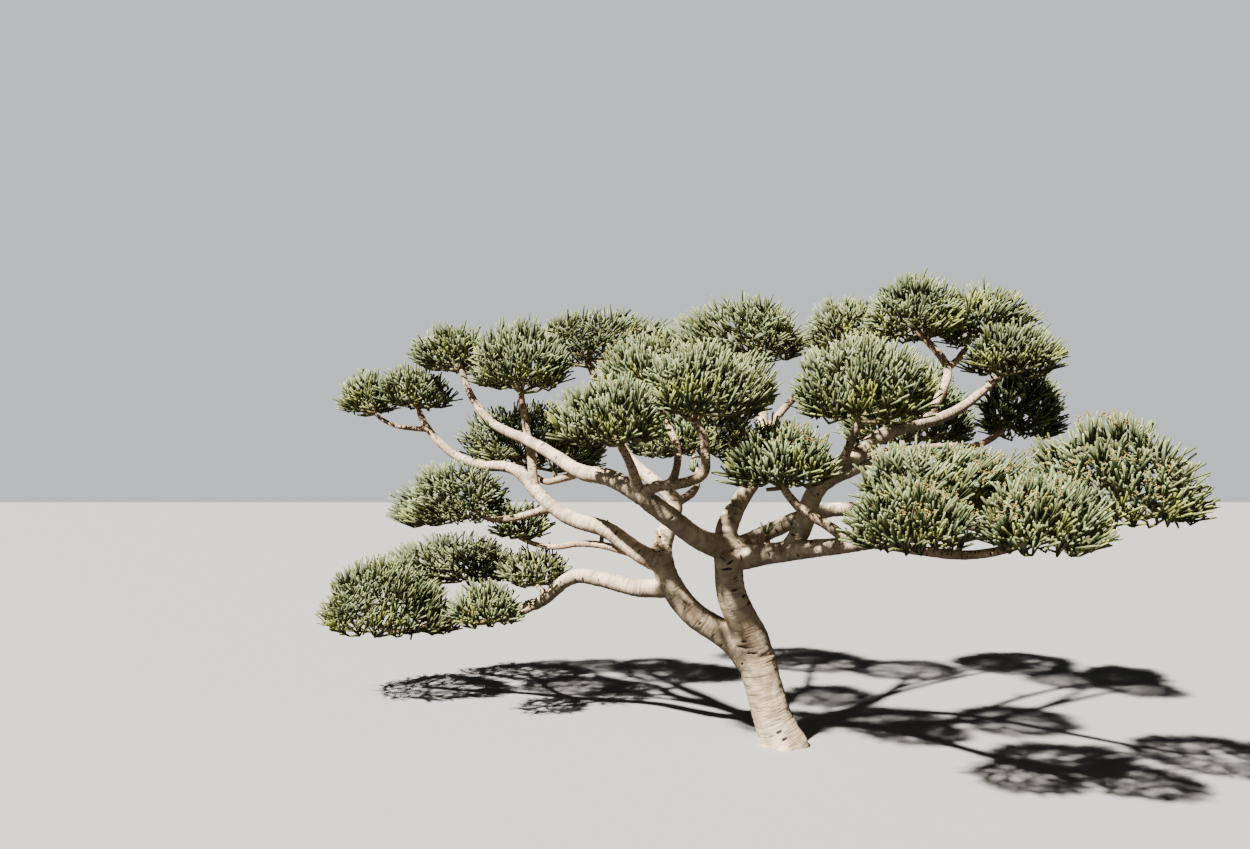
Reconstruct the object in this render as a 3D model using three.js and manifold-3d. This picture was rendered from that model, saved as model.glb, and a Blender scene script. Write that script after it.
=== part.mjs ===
// An umbrella-crowned succulent tree spurge: a low leaning trunk, smooth pale boughs and domed masses of
// upright finger stems. Millimetres, +Z up, with the origin in the middle of the flat cut at ground level.
// +X is to the viewer's right and +Y is away from the viewer.
import * as THREE from "three";
import { mergeVertices } from "three/addons/utils/BufferGeometryUtils.js";
import Module from "manifold-3d";

const wasm = await Module();
wasm.setup();

// Clearance between pieces that touch
const GAP = 0.3;

// Trunk
const TRUNK = { name: "trunk", length: 570, bearing: [180, 178, 176], rise: [68, 74, 78], thick: [230, 238] };
const ROOT_FLARE = 34;
const FLARE_HEIGHT = 80;
const BUTTRESSES = 5;
const BUTTRESS_SHARE = 0.09;
const BELOW_CUT = 110;
const TRUNK_SIDES = 12;
const TRUNK_STEPS = 9;
// The block that stands for the ground when the trunk is cut
const GROUND_WIDTH = 2000;
const GROUND_DEPTH = 1000;

// Limbs. A limb leaves its parent at a share of the parent's length. Its bearing is counted from +X towards
// +Y and its rise from level, both in degrees, and both change evenly between the values of their lists.
// thick holds the diameters from its base to its tip.
const LIMBS = [
  { name: "left_leader_bough", from: "trunk", at: 0.86, length: 2940,
    bearing: [163, 174, 166, 36, 121, 127, 120, 128, 138], rise: [52, 27, 62, 64, 23, 28, 51, 59, 60],
    thick: [180, 150, 104, 72, 46] },
  { name: "right_leader_bough", from: "trunk", at: 0.92, length: 2370,
    bearing: [193, 203, 174, 38, 51, 70, 80, 88, 91], rise: [78, 59, 90, 60, 32, 50, 57, 63, 65],
    thick: [216, 176, 100, 74, 54] },
  { name: "low_left_bough", from: "left_leader_bough", at: 0.25, length: 2560,
    bearing: [154, 150, 142, 139, 155, 152, 157, 157, 158],
    rise: [-18, 10, 5, -43, -12, -5, -19, -19, 15], thick: [118, 44] },
  { name: "low_back_bough", from: "low_left_bough", at: 0.56, length: 720, bearing: [129, 121, 122],
    rise: [7, 6, 28], thick: [50, 36] },
  { name: "low_small_bough", from: "low_left_bough", at: 0.4, length: 120, bearing: [149, 150, 152],
    rise: [-3, 22, 52], thick: [44, 34] },
  { name: "low_front_bough", from: "low_left_bough", at: 0.45, length: 370, bearing: [213, 198, 187],
    rise: [-37, -13, -14], thick: [46, 36] },
  { name: "left_shelf_bough", from: "left_leader_bough", at: 0.3, length: 2410,
    bearing: [167, 151, 149, 150, 143, 154, 153, 151, 146], rise: [17, 36, 7, 33, 44, -3, 22, 41, 61],
    thick: [128, 46] },
  { name: "left_middle_bough", from: "left_shelf_bough", at: 0.47, length: 680,
    bearing: [100, 132, 125], rise: [81, 70, 74], thick: [70, 48] },
  { name: "left_tip_bough", from: "left_shelf_bough", at: 0.92, length: 470, bearing: [163, 161, 165],
    rise: [-1, 10, 38], thick: [42, 32] },
  { name: "left_under_bough", from: "left_shelf_bough", at: 0.38, length: 690, bearing: [161, 158, 146],
    rise: [-20, -9, 35], thick: [58, 40] },
  { name: "left_small_bough", from: "left_leader_bough", at: 0.3, length: 1190,
    bearing: [158, 146, 141, 157], rise: [17, 10, -12, 24], thick: [62, 34] },
  { name: "back_middle_bough", from: "left_leader_bough", at: 0.46, length: 1180, bearing: [56, 84, 94],
    rise: [8, 17, 34], thick: [66, 42] },
  { name: "left_crest_bough", from: "right_leader_bough", at: 0.31, length: 2870,
    bearing: [204, 221, 166, 120, 128, 132, 136, 140, 144], rise: [10, 34, 37, 0, 23, 19, 16, 42, 70],
    thick: [136, 46] },
  { name: "left_inner_bough", from: "left_crest_bough", at: 0.43, length: 1090,
    bearing: [118, 113, 119], rise: [-7, -5, 29], thick: [56, 40] },
  { name: "front_left_bough", from: "left_crest_bough", at: 0.25, length: 330, bearing: [260, 241, 220],
    rise: [55, 55, 51], thick: [66, 50] },
  { name: "front_middle_bough", from: "left_crest_bough", at: 0.24, length: 740,
    bearing: [310, 332, 357, 224, 174], rise: [42, 1, 19, 92, 57], thick: [72, 50] },
  { name: "inner_middle_bough", from: "front_middle_bough", at: 0.31, length: 700,
    bearing: [50, 111, 121], rise: [58, 45, 51], thick: [50, 40] },
  { name: "top_back_bough", from: "right_leader_bough", at: 0.7, length: 1170, bearing: [49, 36, 30],
    rise: [46, 32, 40], thick: [58, 42] },
  { name: "back_right_bough", from: "right_leader_bough", at: 0.57, length: 1640, bearing: [48, 36, 34],
    rise: [9, 3, 22], thick: [60, 44] },
  { name: "near_left_bough", from: "right_leader_bough", at: 0.28, length: 1400,
    bearing: [336, 302, 287], rise: [10, 8, 7], thick: [150, 52] },
  { name: "near_right_bough", from: "near_left_bough", at: 0.77, length: 770, bearing: [310, 324, 332],
    rise: [-7, -5, 25], thick: [60, 44] },
  { name: "near_upper_bough", from: "near_left_bough", at: 0.64, length: 510, bearing: [286, 292, 312],
    rise: [30, 20, 14], thick: [64, 46] },
  { name: "front_low_bough", from: "near_left_bough", at: 0.64, length: 470, bearing: [142, 167, 180],
    rise: [44, 27, 59], thick: [66, 50] },
  { name: "right_shoulder_bough", from: "near_left_bough", at: 0.29, length: 2120,
    bearing: [348, 341, 350, 380, 393, 391, 391, 389, 386], rise: [50, 77, 37, 38, 13, 9, 21, 31, 35],
    thick: [124, 48] },
  { name: "front_right_bough", from: "right_shoulder_bough", at: 0.28, length: 310,
    bearing: [284, 289, 313], rise: [44, 54, 66], thick: [60, 48] },
  { name: "top_right_bough", from: "right_shoulder_bough", at: 0.6, length: 1010,
    bearing: [44, 47, 187], rise: [26, 47, 51], thick: [72, 46] },
  { name: "top_far_right_bough", from: "top_right_bough", at: 0.63, length: 340, bearing: [29, 36, 43],
    rise: [26, 39, 61], thick: [48, 40] },
  { name: "right_back_bough", from: "right_shoulder_bough", at: 0.22, length: 2020,
    bearing: [40, 41, 37, 30, 29], rise: [14, 14, 7, 0, 42], thick: [76, 44] },
  { name: "far_right_bough", from: "right_leader_bough", at: 0.3, length: 2360,
    bearing: [18, 4, -28, -42, -45, -41], rise: [23, 24, -8, -5, -3, 31], thick: [112, 50] },
];
const PATH_STEPS = 24;
const STEP_LENGTH = 240;
const FEWEST_STEPS = 3;
const THICK_LIMB = 90;
const THICK_SIDES = 8;
const THIN_SIDES = 5;
// A limb swells by this share where it joins its parent, over about this many of the parent's radii
const COLLAR_SHARE = 0.22;
const COLLAR_REACH = 1.6;
// Inside its parent a limb starts at this share of its thickness, and has its full thickness at the surface
const ROOT_SHARE = 0.5;
const ROOT_DEPTH_SHARE = 0.7;
// The trunk closes in over its last step, inside the fork
const FORK_END_SHARE = 0.72;

// Masses of finger stems. Each sits on the tip of its own bough, which has the same name or the one that on
// gives, in an egg-shaped space of its own. size holds the space's width, depth and height, shift moves it in
// plan from the bough's tip, and sink is how far it reaches below the tip.
const MASSES = [
  { name: "left_tip", size: [490, 480, 460], shift: [-100, 30], sink: 50 },
  { name: "left_shelf", size: [740, 700, 450], shift: [-40, 50], sink: 35 },
  { name: "left_crest", size: [790, 740, 450], shift: [-100, 40], sink: 35 },
  { name: "left_middle", size: [850, 780, 640], shift: [-10, 0], sink: 15 },
  { name: "back_crest", on: "left_leader", size: [1430, 980, 530], shift: [190, 150], sink: 50 },
  { name: "front_left", size: [840, 740, 560], shift: [-50, -60], sink: 45 },
  { name: "front_middle", size: [920, 880, 580], shift: [75, -30], sink: 15 },
  { name: "inner_middle", size: [790, 900, 510], shift: [-40, 80], sink: 15 },
  { name: "top_middle", on: "right_leader", size: [1150, 980, 600], shift: [-180, 50], sink: 95 },
  { name: "top_back", size: [740, 820, 560], shift: [0, 80], sink: 95 },
  { name: "front_right", size: [940, 920, 630], shift: [20, -30], sink: 50 },
  { name: "top_right", size: [780, 880, 620], shift: [-5, 10], sink: 180 },
  { name: "top_far_right", size: [800, 760, 550], shift: [165, 80], sink: 100 },
  { name: "right_shoulder", size: [730, 840, 480], shift: [88, 0], sink: 35 },
  { name: "right_back", size: [720, 760, 770], shift: [160, 130], sink: 245 },
  { name: "front_low", size: [810, 690, 490], shift: [-55, -60], sink: 15 },
  { name: "near_upper", size: [1150, 780, 490], shift: [190, -10], sink: 50 },
  { name: "near_left", size: [800, 740, 450], shift: [-40, -220], sink: 90 },
  { name: "near_right", size: [830, 720, 490], shift: [0, -130], sink: 90 },
  { name: "far_right", size: [1060, 940, 790], shift: [-72, -45], sink: 205 },
  { name: "left_inner", size: [1330, 920, 640], shift: [35, 125], sink: 90 },
  { name: "left_under", size: [1150, 880, 620], shift: [-122, 50], sink: 240 },
  { name: "left_small", size: [520, 480, 330], shift: [-20, 40], sink: 50 },
  { name: "low_left", size: [1240, 1050, 780], shift: [120, -60], sink: 110 },
  { name: "low_back", size: [1260, 900, 500], shift: [-190, 210], sink: 90 },
  { name: "low_small", size: [600, 540, 330], shift: [-40, 20], sink: 30 },
  { name: "low_front", size: [600, 560, 380], shift: [-20, -20], sink: 50 },
  { name: "back_middle", size: [1260, 1010, 620], shift: [0, 80], sink: 130 },
  { name: "back_right", size: [1180, 1030, 900], shift: [90, 120], sink: 150 },
];
// The space is widest at this share of its height, and its heart is at the next one, over its middle
const WIDEST_SHARE = 0.34;
const HEART_SHARE = 0.3;
// Each mass keeps this far from the level that parts it from a neighbour, which leaves room for half a finger
const CELL_MARGIN = 26;
// Directions reach from straight up to this many degrees below level
const LOWEST = -10;
const GOLDEN_ANGLE = 180 * (3 - Math.sqrt(5));
// Each modelled finger stands for a spray of them, and takes this area of the dome
const SPRAY_AREA = 84000;
// The power that gives an egg's area from its half sizes
const AREA_POWER = 1.6;
// The stem starts at this share of its bough and ends this far past the tip, and the forks start inside it
const STEM_START = 0.98;
const STEM_RISE = 40;
const STEM_SIDES = 5;
const FORK_RISE = 16;
const FORKS = 3;
const FORK_OUT = 0.5;
const FORK_THICK = [26, 30];
// A fork is tested for limbs in its way from this share of its length on
const FORK_FREE_SHARE = 0.4;
const FINGER_THICK = [56, 40];
// A spray's root is this deep in the core, and it leans from its way out by this much to the upright
const ROOT_DEPTH = 25;
const UPRIGHT_SHARE = 0.35;
const TIP_LEVELS = [0.9, 1];
// The core's size as a share of the space, and how far it is flattened below the heart
const CORE_SHARE = 0.84;
const CORE_UNDER = 0.55;
const LIMB_CLEARANCE = 3;
// Corners nearer than this are one corner
const MERGE_REACH = 1e-4;
// Below these, two stretches are parallel and a direction runs along a level
const PARALLEL = 1e-9;
const LEAST_SPEED = 1e-6;

const BARK = { color: 0x9c8a7c, roughness: 0.85, metalness: 0 };
const FOLIAGE = { color: 0x8c9a78, roughness: 0.7, metalness: 0 };

function seededRandom(seed) {
  let state = seed >>> 0;
  return () => {
    state = (Math.imul(state, 1664525) + 1013904223) >>> 0;
    return state / 4294967296;
  };
}

// The value at a share of an evenly spaced list
function between(values, share) {
  const place = share * (values.length - 1);
  const first = Math.min(Math.floor(place), values.length - 2);
  return THREE.MathUtils.lerp(values[first], values[first + 1], place - first);
}

function heading(bearing, rise) {
  const turn = THREE.MathUtils.degToRad(bearing);
  const climb = THREE.MathUtils.degToRad(rise);
  const level = Math.cos(climb);
  return new THREE.Vector3(level * Math.cos(turn), level * Math.sin(turn), Math.sin(climb));
}

// Points along a limb's middle line
function limbPoints(start, limb) {
  const points = [start.clone()];
  for (let i = 0; i < PATH_STEPS; i += 1) {
    const share = (i + 0.5) / PATH_STEPS;
    const way = heading(between(limb.bearing, share), between(limb.rise, share));
    points.push(points[i].clone().addScaledVector(way, limb.length / PATH_STEPS));
  }
  return points;
}

function pointAt(points, share) {
  const place = share * (points.length - 1);
  const first = Math.min(Math.floor(place), points.length - 2);
  return points[first].clone().lerp(points[first + 1], place - first);
}

function regularSection(sides) {
  const corners = [];
  for (let i = 0; i < sides; i += 1) {
    const turn = (2 * Math.PI * i) / sides;
    corners.push(new THREE.Vector2(Math.cos(turn), Math.sin(turn)));
  }
  return new THREE.Shape(corners);
}

// A curve read at other shares of its length, so that the rings of a stick on it can stand unevenly
class SpacedCurve extends THREE.Curve {
  constructor(curve, shareOf) {
    super();
    this.curve = curve;
    this.shareOf = shareOf;
  }

  getPointAt(share) {
    return this.curve.getPointAt(this.shareOf(share));
  }

  getTangentAt(share) {
    return this.curve.getTangentAt(this.shareOf(share));
  }
}

// A straight extruded stick bent along a curve, with a radius for each ring and turn
function bentStick(curve, steps, sides, radiusAt) {
  const options = { depth: 1, steps, bevelEnabled: false };
  const geometry = new THREE.ExtrudeGeometry(regularSection(sides), options);
  const frames = curve.computeFrenetFrames(steps, false);
  const place = geometry.attributes.position;
  for (let v = 0; v < place.count; v += 1) {
    const ring = Math.round(place.getZ(v) * steps);
    const turn = Math.atan2(place.getY(v), place.getX(v));
    const radius = radiusAt(ring, turn);
    const point = curve.getPointAt(ring / steps);
    point.addScaledVector(frames.normals[ring], place.getX(v) * radius);
    point.addScaledVector(frames.binormals[ring], place.getY(v) * radius);
    place.setXYZ(v, point.x, point.y, point.z);
  }
  return geometry;
}

function solidOf(geometry) {
  geometry.deleteAttribute("normal");
  geometry.deleteAttribute("uv");
  const merged = mergeVertices(geometry, MERGE_REACH);
  return new wasm.Manifold(
    new wasm.Mesh({
      numProp: 3,
      vertProperties: new Float32Array(merged.attributes.position.array),
      triVerts: new Uint32Array(merged.index.array),
    }),
  );
}

// The largest connected body of a solid, without the scraps that a cut leaves
function largestBody(solid) {
  const { vertProperties, triVerts } = solid.getMesh();
  const leader = Array.from({ length: vertProperties.length / 3 }, (_, i) => i);
  const find = (v) => {
    let root = v;
    while (leader[root] !== root) {
      leader[root] = leader[leader[root]];
      root = leader[root];
    }
    return root;
  };
  for (let t = 0; t < triVerts.length; t += 3) {
    leader[find(triVerts[t + 1])] = find(triVerts[t]);
    leader[find(triVerts[t + 2])] = find(triVerts[t]);
  }
  const bodies = new Map();
  for (let t = 0; t < triVerts.length; t += 3) {
    const body = find(triVerts[t]);
    if (!bodies.has(body)) {
      bodies.set(body, []);
    }
    bodies.get(body).push(triVerts[t], triVerts[t + 1], triVerts[t + 2]);
  }
  const index = [...bodies.values()].sort((a, b) => b.length - a.length)[0];
  const geometry = new THREE.BufferGeometry();
  geometry.setAttribute("position", new THREE.BufferAttribute(new Float32Array(vertProperties), 3));
  geometry.setIndex(index);
  const loose = geometry.toNonIndexed();
  loose.computeVertexNormals();
  return loose;
}

// The limbs' middle lines and radii
const limbs = new Map();

function addLimb(limb, start) {
  const points = limbPoints(start, limb);
  limbs.set(limb.name, { ...limb, points, curve: new THREE.CatmullRomCurve3(points) });
}

function radiusOf(limb, share) {
  return between(limb.thick, share) / 2;
}

addLimb(TRUNK, new THREE.Vector3());
for (const limb of LIMBS) {
  const parent = limbs.get(limb.from);
  addLimb(limb, pointAt(parent.points, limb.at));
}

// A limb's solid, made larger all over by growth. Its first ring is inside the parent and its second near
// the parent's surface.
function limbSolid(limb, growth) {
  const steps = Math.max(FEWEST_STEPS, Math.round(limb.length / STEP_LENGTH));
  const sides = limb.thick[0] >= THICK_LIMB ? THICK_SIDES : THIN_SIDES;
  const parentRadius = radiusOf(limbs.get(limb.from), limb.at);
  const inside = (ROOT_DEPTH_SHARE * parentRadius) / limb.length;
  const shareOf = (share) => {
    const ring = share * steps;
    return ring < 1 ? ring * inside : Math.min(1, inside + ((1 - inside) * (ring - 1)) / (steps - 1));
  };
  const points = limb.points.map((p) => p.clone());
  const last = points.length - 1;
  const endWay = points[last].clone().sub(points[last - 1]).normalize();
  points[last].addScaledVector(endWay, growth);
  const radiusAt = (ring) => {
    const share = shareOf(ring / steps);
    const away = (share * limb.length) / (COLLAR_REACH * parentRadius);
    const collar = 1 + COLLAR_SHARE * Math.exp(-away * away);
    const start = ring === 0 ? ROOT_SHARE : 1;
    return radiusOf(limb, share) * collar * start + growth / Math.cos(Math.PI / sides);
  };
  const curve = new SpacedCurve(new THREE.CatmullRomCurve3(points), shareOf);
  return solidOf(bentStick(curve, steps, sides, radiusAt));
}

// The trunk runs on below the ground and is cut flat there
function trunkSolid(growth) {
  const start = limbs.get("trunk").points[0];
  const way = heading(TRUNK.bearing[0], TRUNK.rise[0]);
  const below = start.clone().addScaledVector(way, -BELOW_CUT);
  const points = [below, ...limbs.get("trunk").points.map((p) => p.clone())];
  const last = points.length - 1;
  points[last].addScaledVector(heading(TRUNK.bearing.at(-1), TRUNK.rise.at(-1)), growth);
  const whole = TRUNK.length + BELOW_CUT;
  const radiusAt = (ring, turn) => {
    const along = (ring / TRUNK_STEPS) * whole - BELOW_CUT;
    const fade = Math.exp(-Math.max(along, 0) / FLARE_HEIGHT);
    const buttress = 1 + BUTTRESS_SHARE * fade * Math.cos(BUTTRESSES * turn);
    const closing = ring === TRUNK_STEPS ? FORK_END_SHARE : 1;
    const plain = radiusOf(TRUNK, Math.max(along, 0) / TRUNK.length);
    return (plain + ROOT_FLARE * fade) * buttress * closing + growth / Math.cos(Math.PI / TRUNK_SIDES);
  };
  const stick = solidOf(bentStick(new THREE.CatmullRomCurve3(points), TRUNK_STEPS, TRUNK_SIDES, radiusAt));
  const ground = new THREE.BoxGeometry(GROUND_WIDTH, GROUND_WIDTH, GROUND_DEPTH);
  ground.translate(0, 0, -GROUND_DEPTH / 2);
  return stick.subtract(solidOf(ground));
}

// The least distance between two straight stretches
function stretchDistance(a0, a1, b0, b1) {
  const along = a1.clone().sub(a0);
  const across = b1.clone().sub(b0);
  const apart = a0.clone().sub(b0);
  const aa = along.dot(along);
  const bb = across.dot(across);
  const ab = along.dot(across);
  const ac = along.dot(apart);
  const bc = across.dot(apart);
  const spread = aa * bb - ab * ab;
  let s = spread > PARALLEL ? THREE.MathUtils.clamp((ab * bc - ac * bb) / spread, 0, 1) : 0;
  const t = THREE.MathUtils.clamp((ab * s + bc) / bb, 0, 1);
  s = THREE.MathUtils.clamp((ab * t - ac) / aa, 0, 1);
  return a0.clone().addScaledVector(along, s).distanceTo(b0.clone().addScaledVector(across, t));
}

// How far a straight stick's surface is from a limb's surface
function clearOfLimb(limb, from, to, radius) {
  let least = Infinity;
  for (let i = 0; i < PATH_STEPS; i += 1) {
    const apart = stretchDistance(from, to, limb.points[i], limb.points[i + 1]);
    least = Math.min(least, apart - radius - radiusOf(limb, i / PATH_STEPS));
  }
  return least;
}

function nearLimbs(box) {
  const near = [];
  for (const limb of limbs.values()) {
    const reach = new THREE.Box3().setFromPoints(limb.points).expandByScalar(limb.thick[0]);
    if (reach.intersectsBox(box)) {
      near.push(limb);
    }
  }
  return near;
}

// A mass's own space: an egg-shaped body, and the levels that part it from its neighbours
function spaceOf(mass) {
  const bough = limbs.get(`${mass.on ?? mass.name}_bough`);
  const tip = bough.points.at(-1);
  const [width, depth, height] = mass.size;
  const floor = tip.z - mass.sink;
  const x = tip.x + mass.shift[0];
  const y = tip.y + mass.shift[1];
  return {
    ...mass,
    bough,
    tip,
    middle: new THREE.Vector3(x, y, floor + WIDEST_SHARE * height),
    heart: new THREE.Vector3(x, y, floor + HEART_SHARE * height),
    half: new THREE.Vector3(width / 2, depth / 2, (1 - WIDEST_SHARE) * height),
    under: WIDEST_SHARE * height,
    levels: [],
  };
}

// Half the space's thickness along a direction
function halfThickness(space, way) {
  const upright = way.z > 0 ? space.half.z : space.under;
  return Math.hypot(way.x * space.half.x, way.y * space.half.y, way.z * upright);
}

function partSpaces(spaces) {
  for (const space of spaces) {
    for (const other of spaces) {
      const way = other.middle.clone().sub(space.middle);
      const apart = way.length();
      if (other === space) {
        continue;
      }
      way.divideScalar(apart);
      const mine = halfThickness(space, way);
      const theirs = halfThickness(other, way.clone().negate());
      if (mine + theirs + 2 * CELL_MARGIN < apart) {
        continue;
      }
      const share = (apart * mine) / (mine + theirs) - CELL_MARGIN;
      space.levels.push({ way, reach: way.dot(space.middle) + share });
    }
  }
}

// How far the space goes from a point inside it along a direction
function reachOf(space, from, way) {
  const start = from.clone().sub(space.middle);
  const exit = (upright) => {
    const scale = new THREE.Vector3(1 / space.half.x, 1 / space.half.y, 1 / upright);
    const p = start.clone().multiply(scale);
    const d = way.clone().multiply(scale);
    const a = d.dot(d);
    const b = p.dot(d);
    return (-b + Math.sqrt(Math.max(0, b * b - a * (p.dot(p) - 1)))) / a;
  };
  let reach = exit(space.half.z);
  if (start.z + reach * way.z < 0) {
    reach = exit(space.under);
  }
  for (const level of space.levels) {
    const speed = level.way.dot(way);
    if (speed > LEAST_SPEED) {
      reach = Math.min(reach, (level.reach - level.way.dot(from)) / speed);
    }
  }
  return reach;
}

// Directions spread evenly from straight up to just below level, on a spiral
function spreadWays(count, phase) {
  const ways = [];
  const lowest = Math.sin(THREE.MathUtils.degToRad(LOWEST));
  for (let i = 0; i < count; i += 1) {
    const height = 1 - ((i + 0.5) / count) * (1 - lowest);
    ways.push(heading(phase + i * GOLDEN_ANGLE, THREE.MathUtils.radToDeg(Math.asin(height))));
  }
  return ways;
}

// The area of the upper half of a mass's space
function domeArea(space) {
  const { x, y, z } = space.half;
  const mean = ((x * y) ** AREA_POWER + (x * z) ** AREA_POWER + (y * z) ** AREA_POWER) / 3;
  return 2 * Math.PI * mean ** (1 / AREA_POWER);
}

function straightStick(from, to, sides, thick) {
  return bentStick(new THREE.LineCurve3(from, to), 1, sides, (ring) => thick[ring] / 2);
}

// The dense middle of a mass, a ball drawn to the shape of its space and flattened below
function coreGeometry(space) {
  const core = new THREE.IcosahedronGeometry(1, 1);
  const place = core.attributes.position;
  for (let v = 0; v < place.count; v += 1) {
    const way = new THREE.Vector3().fromBufferAttribute(place, v).normalize();
    way.multiplyScalar(CORE_SHARE * reachOf(space, space.heart, way));
    if (way.z < 0) {
      way.z *= CORE_UNDER;
    }
    place.setXYZ(v, space.heart.x + way.x, space.heart.y + way.y, space.heart.z + way.z);
  }
  return core;
}

// The middle of each facet of a shape
function facetMiddles(geometry) {
  const place = geometry.attributes.position;
  const middles = [];
  for (let v = 0; v < place.count; v += 3) {
    const middle = new THREE.Vector3();
    for (let i = 0; i < 3; i += 1) {
      middle.add(new THREE.Vector3().fromBufferAttribute(place, v + i));
    }
    middles.push(middle.divideScalar(3));
  }
  return middles;
}

// Takes from a list the point that lies nearest a direction from a centre
function takeNearest(points, centre, way) {
  let best = 0;
  let most = -Infinity;
  points.forEach((point, i) => {
    const match = point.clone().sub(centre).normalize().dot(way);
    if (match > most) {
      most = match;
      best = i;
    }
  });
  return points.splice(best, 1)[0];
}

function massSolid(space, number) {
  const random = seededRandom(number + 1);
  const box = new THREE.Box3().setFromCenterAndSize(space.middle, new THREE.Vector3(...space.size));
  const near = nearLimbs(box.expandByPoint(space.tip));
  const isClear = (from, to, radius) =>
    near.every((limb) => clearOfLimb(limb, from, to, radius) > LIMB_CLEARANCE);

  // A short stem goes on from the bough's tip, and the forks leave its end for the core
  const inside = pointAt(space.bough.points, STEM_START);
  const way = space.tip.clone().sub(inside).normalize();
  const stemEnd = space.tip.clone().addScaledVector(way, STEM_RISE);
  const forkStart = space.tip.clone().addScaledVector(way, FORK_RISE);
  const tipThick = space.bough.thick.at(-1);
  const core = coreGeometry(space);
  const facets = facetMiddles(core);
  let solid = solidOf(straightStick(inside, stemEnd, STEM_SIDES, [tipThick, tipThick]));

  const phase = 360 * random();
  for (let i = 0; i < FORKS; i += 1) {
    const out = heading(phase + (360 * i) / FORKS, 0);
    const end = space.heart.clone().addScaledVector(out, FORK_OUT * reachOf(space, space.heart, out));
    if (isClear(forkStart.clone().lerp(end, FORK_FREE_SHARE), end, FORK_THICK[0] / 2)) {
      solid = solid.add(solidOf(straightStick(forkStart, end, 3, FORK_THICK)));
    }
  }
  solid = solid.add(solidOf(core));

  // Each spray stands on the facet of the core nearest its direction, and leans from it to the upright
  const count = Math.round(domeArea(space) / SPRAY_AREA);
  for (const way of spreadWays(count, phase)) {
    const level = THREE.MathUtils.lerp(TIP_LEVELS[0], TIP_LEVELS[1], random());
    const facet = takeNearest(facets, space.heart, way);
    const lean = facet.clone().sub(space.heart).normalize();
    lean.z += UPRIGHT_SHARE;
    lean.normalize();
    const root = facet.clone().addScaledVector(lean, -ROOT_DEPTH);
    const end = facet.clone().addScaledVector(lean, level * reachOf(space, facet, lean));
    if (isClear(root, end, FINGER_THICK[0] / 2)) {
      solid = solid.add(solidOf(straightStick(root, end, 3, FINGER_THICK)));
    }
  }

  for (const limb of near) {
    solid = solid.subtract(grownLimb(limb));
  }
  return solid;
}

const grown = new Map();

function grownLimb(limb) {
  if (!grown.has(limb.name)) {
    grown.set(limb.name, limb.name === "trunk" ? trunkSolid(GAP) : limbSolid(limb, GAP));
  }
  return grown.get(limb.name);
}

function addMesh(group, name, solid, look) {
  const mesh = new THREE.Mesh(largestBody(solid), new THREE.MeshStandardMaterial(look));
  mesh.name = name;
  group.add(mesh);
}

// Each limb is cut clear of those made before it
function addLimbs(group) {
  addMesh(group, "trunk", trunkSolid(0), BARK);
  const made = [limbs.get("trunk")];
  for (const { name } of LIMBS) {
    const limb = limbs.get(name);
    const box = new THREE.Box3().setFromPoints(limb.points).expandByScalar(limb.thick[0]);
    let solid = limbSolid(limb, 0);
    for (const other of nearLimbs(box)) {
      if (made.includes(other)) {
        solid = solid.subtract(grownLimb(other));
      }
    }
    addMesh(group, name, solid, BARK);
    made.push(limb);
  }
}

function addMasses(group) {
  const spaces = MASSES.map(spaceOf);
  partSpaces(spaces);
  spaces.forEach((space, number) => {
    addMesh(group, `${space.name}_fingers`, massSolid(space, number), FOLIAGE);
  });
}

const tree = new THREE.Group();
addLimbs(tree);
addMasses(tree);

export default tree;
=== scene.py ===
"""An umbrella-crowned succulent tree spurge: one skin of pale bark over the trunk and boughs, and masses of
finger stems that grow on from the boughs' tips."""

import math

import bmesh
import bpy
import numpy as np
from mathutils import Matrix, Vector, kdtree, noise


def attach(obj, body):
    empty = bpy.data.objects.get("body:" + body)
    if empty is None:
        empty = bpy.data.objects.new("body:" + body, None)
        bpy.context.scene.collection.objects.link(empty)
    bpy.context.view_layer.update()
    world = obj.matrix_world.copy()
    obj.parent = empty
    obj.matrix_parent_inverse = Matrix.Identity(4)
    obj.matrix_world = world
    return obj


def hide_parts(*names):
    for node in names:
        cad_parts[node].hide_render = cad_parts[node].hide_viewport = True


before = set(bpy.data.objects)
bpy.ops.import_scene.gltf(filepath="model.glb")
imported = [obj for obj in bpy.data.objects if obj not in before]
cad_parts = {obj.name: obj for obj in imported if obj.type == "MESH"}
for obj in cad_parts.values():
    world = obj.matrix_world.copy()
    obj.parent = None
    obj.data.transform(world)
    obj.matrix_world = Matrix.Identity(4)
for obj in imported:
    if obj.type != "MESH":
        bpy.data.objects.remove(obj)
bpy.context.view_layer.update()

bl_info = {
    "name": "Umbrella Tree Spurge",
    "version": (1, 0, 0),
    "blender": (4, 5, 0),
    "location": "View3D > Sidebar > Tree Spurge",
    "description": "Builds a flat-crowned succulent tree with bark relief, twigs, finger stems and blossom",
    "category": "Add Mesh",
}

MM = 0.001

# Trunk and limbs, in millimetres and degrees. A limb leaves its parent at a share of the parent's length. Its
# bearing is counted from +X towards +Y and its rise from level. thick holds the diameters from base to tip.
TRUNK = {"name": "trunk", "length": 570, "bearing": [180, 178, 176], "rise": [68, 74, 78],
         "thick": [230, 238]}
# The trunk's foot: how far its flare stands out, over which height it fades, its buttresses, and how far the
# tube runs on below the flat cut
ROOT_FLARE = 34
FLARE_HEIGHT = 80
BUTTRESSES = 5
BUTTRESS_SHARE = 0.09
BELOW_CUT = 110


def limb_row(name, parent, at, length, bearing, rise, thick):
    row = {"name": name, "from": parent, "at": at, "length": length}
    return {**row, "bearing": bearing, "rise": rise, "thick": thick}


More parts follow.
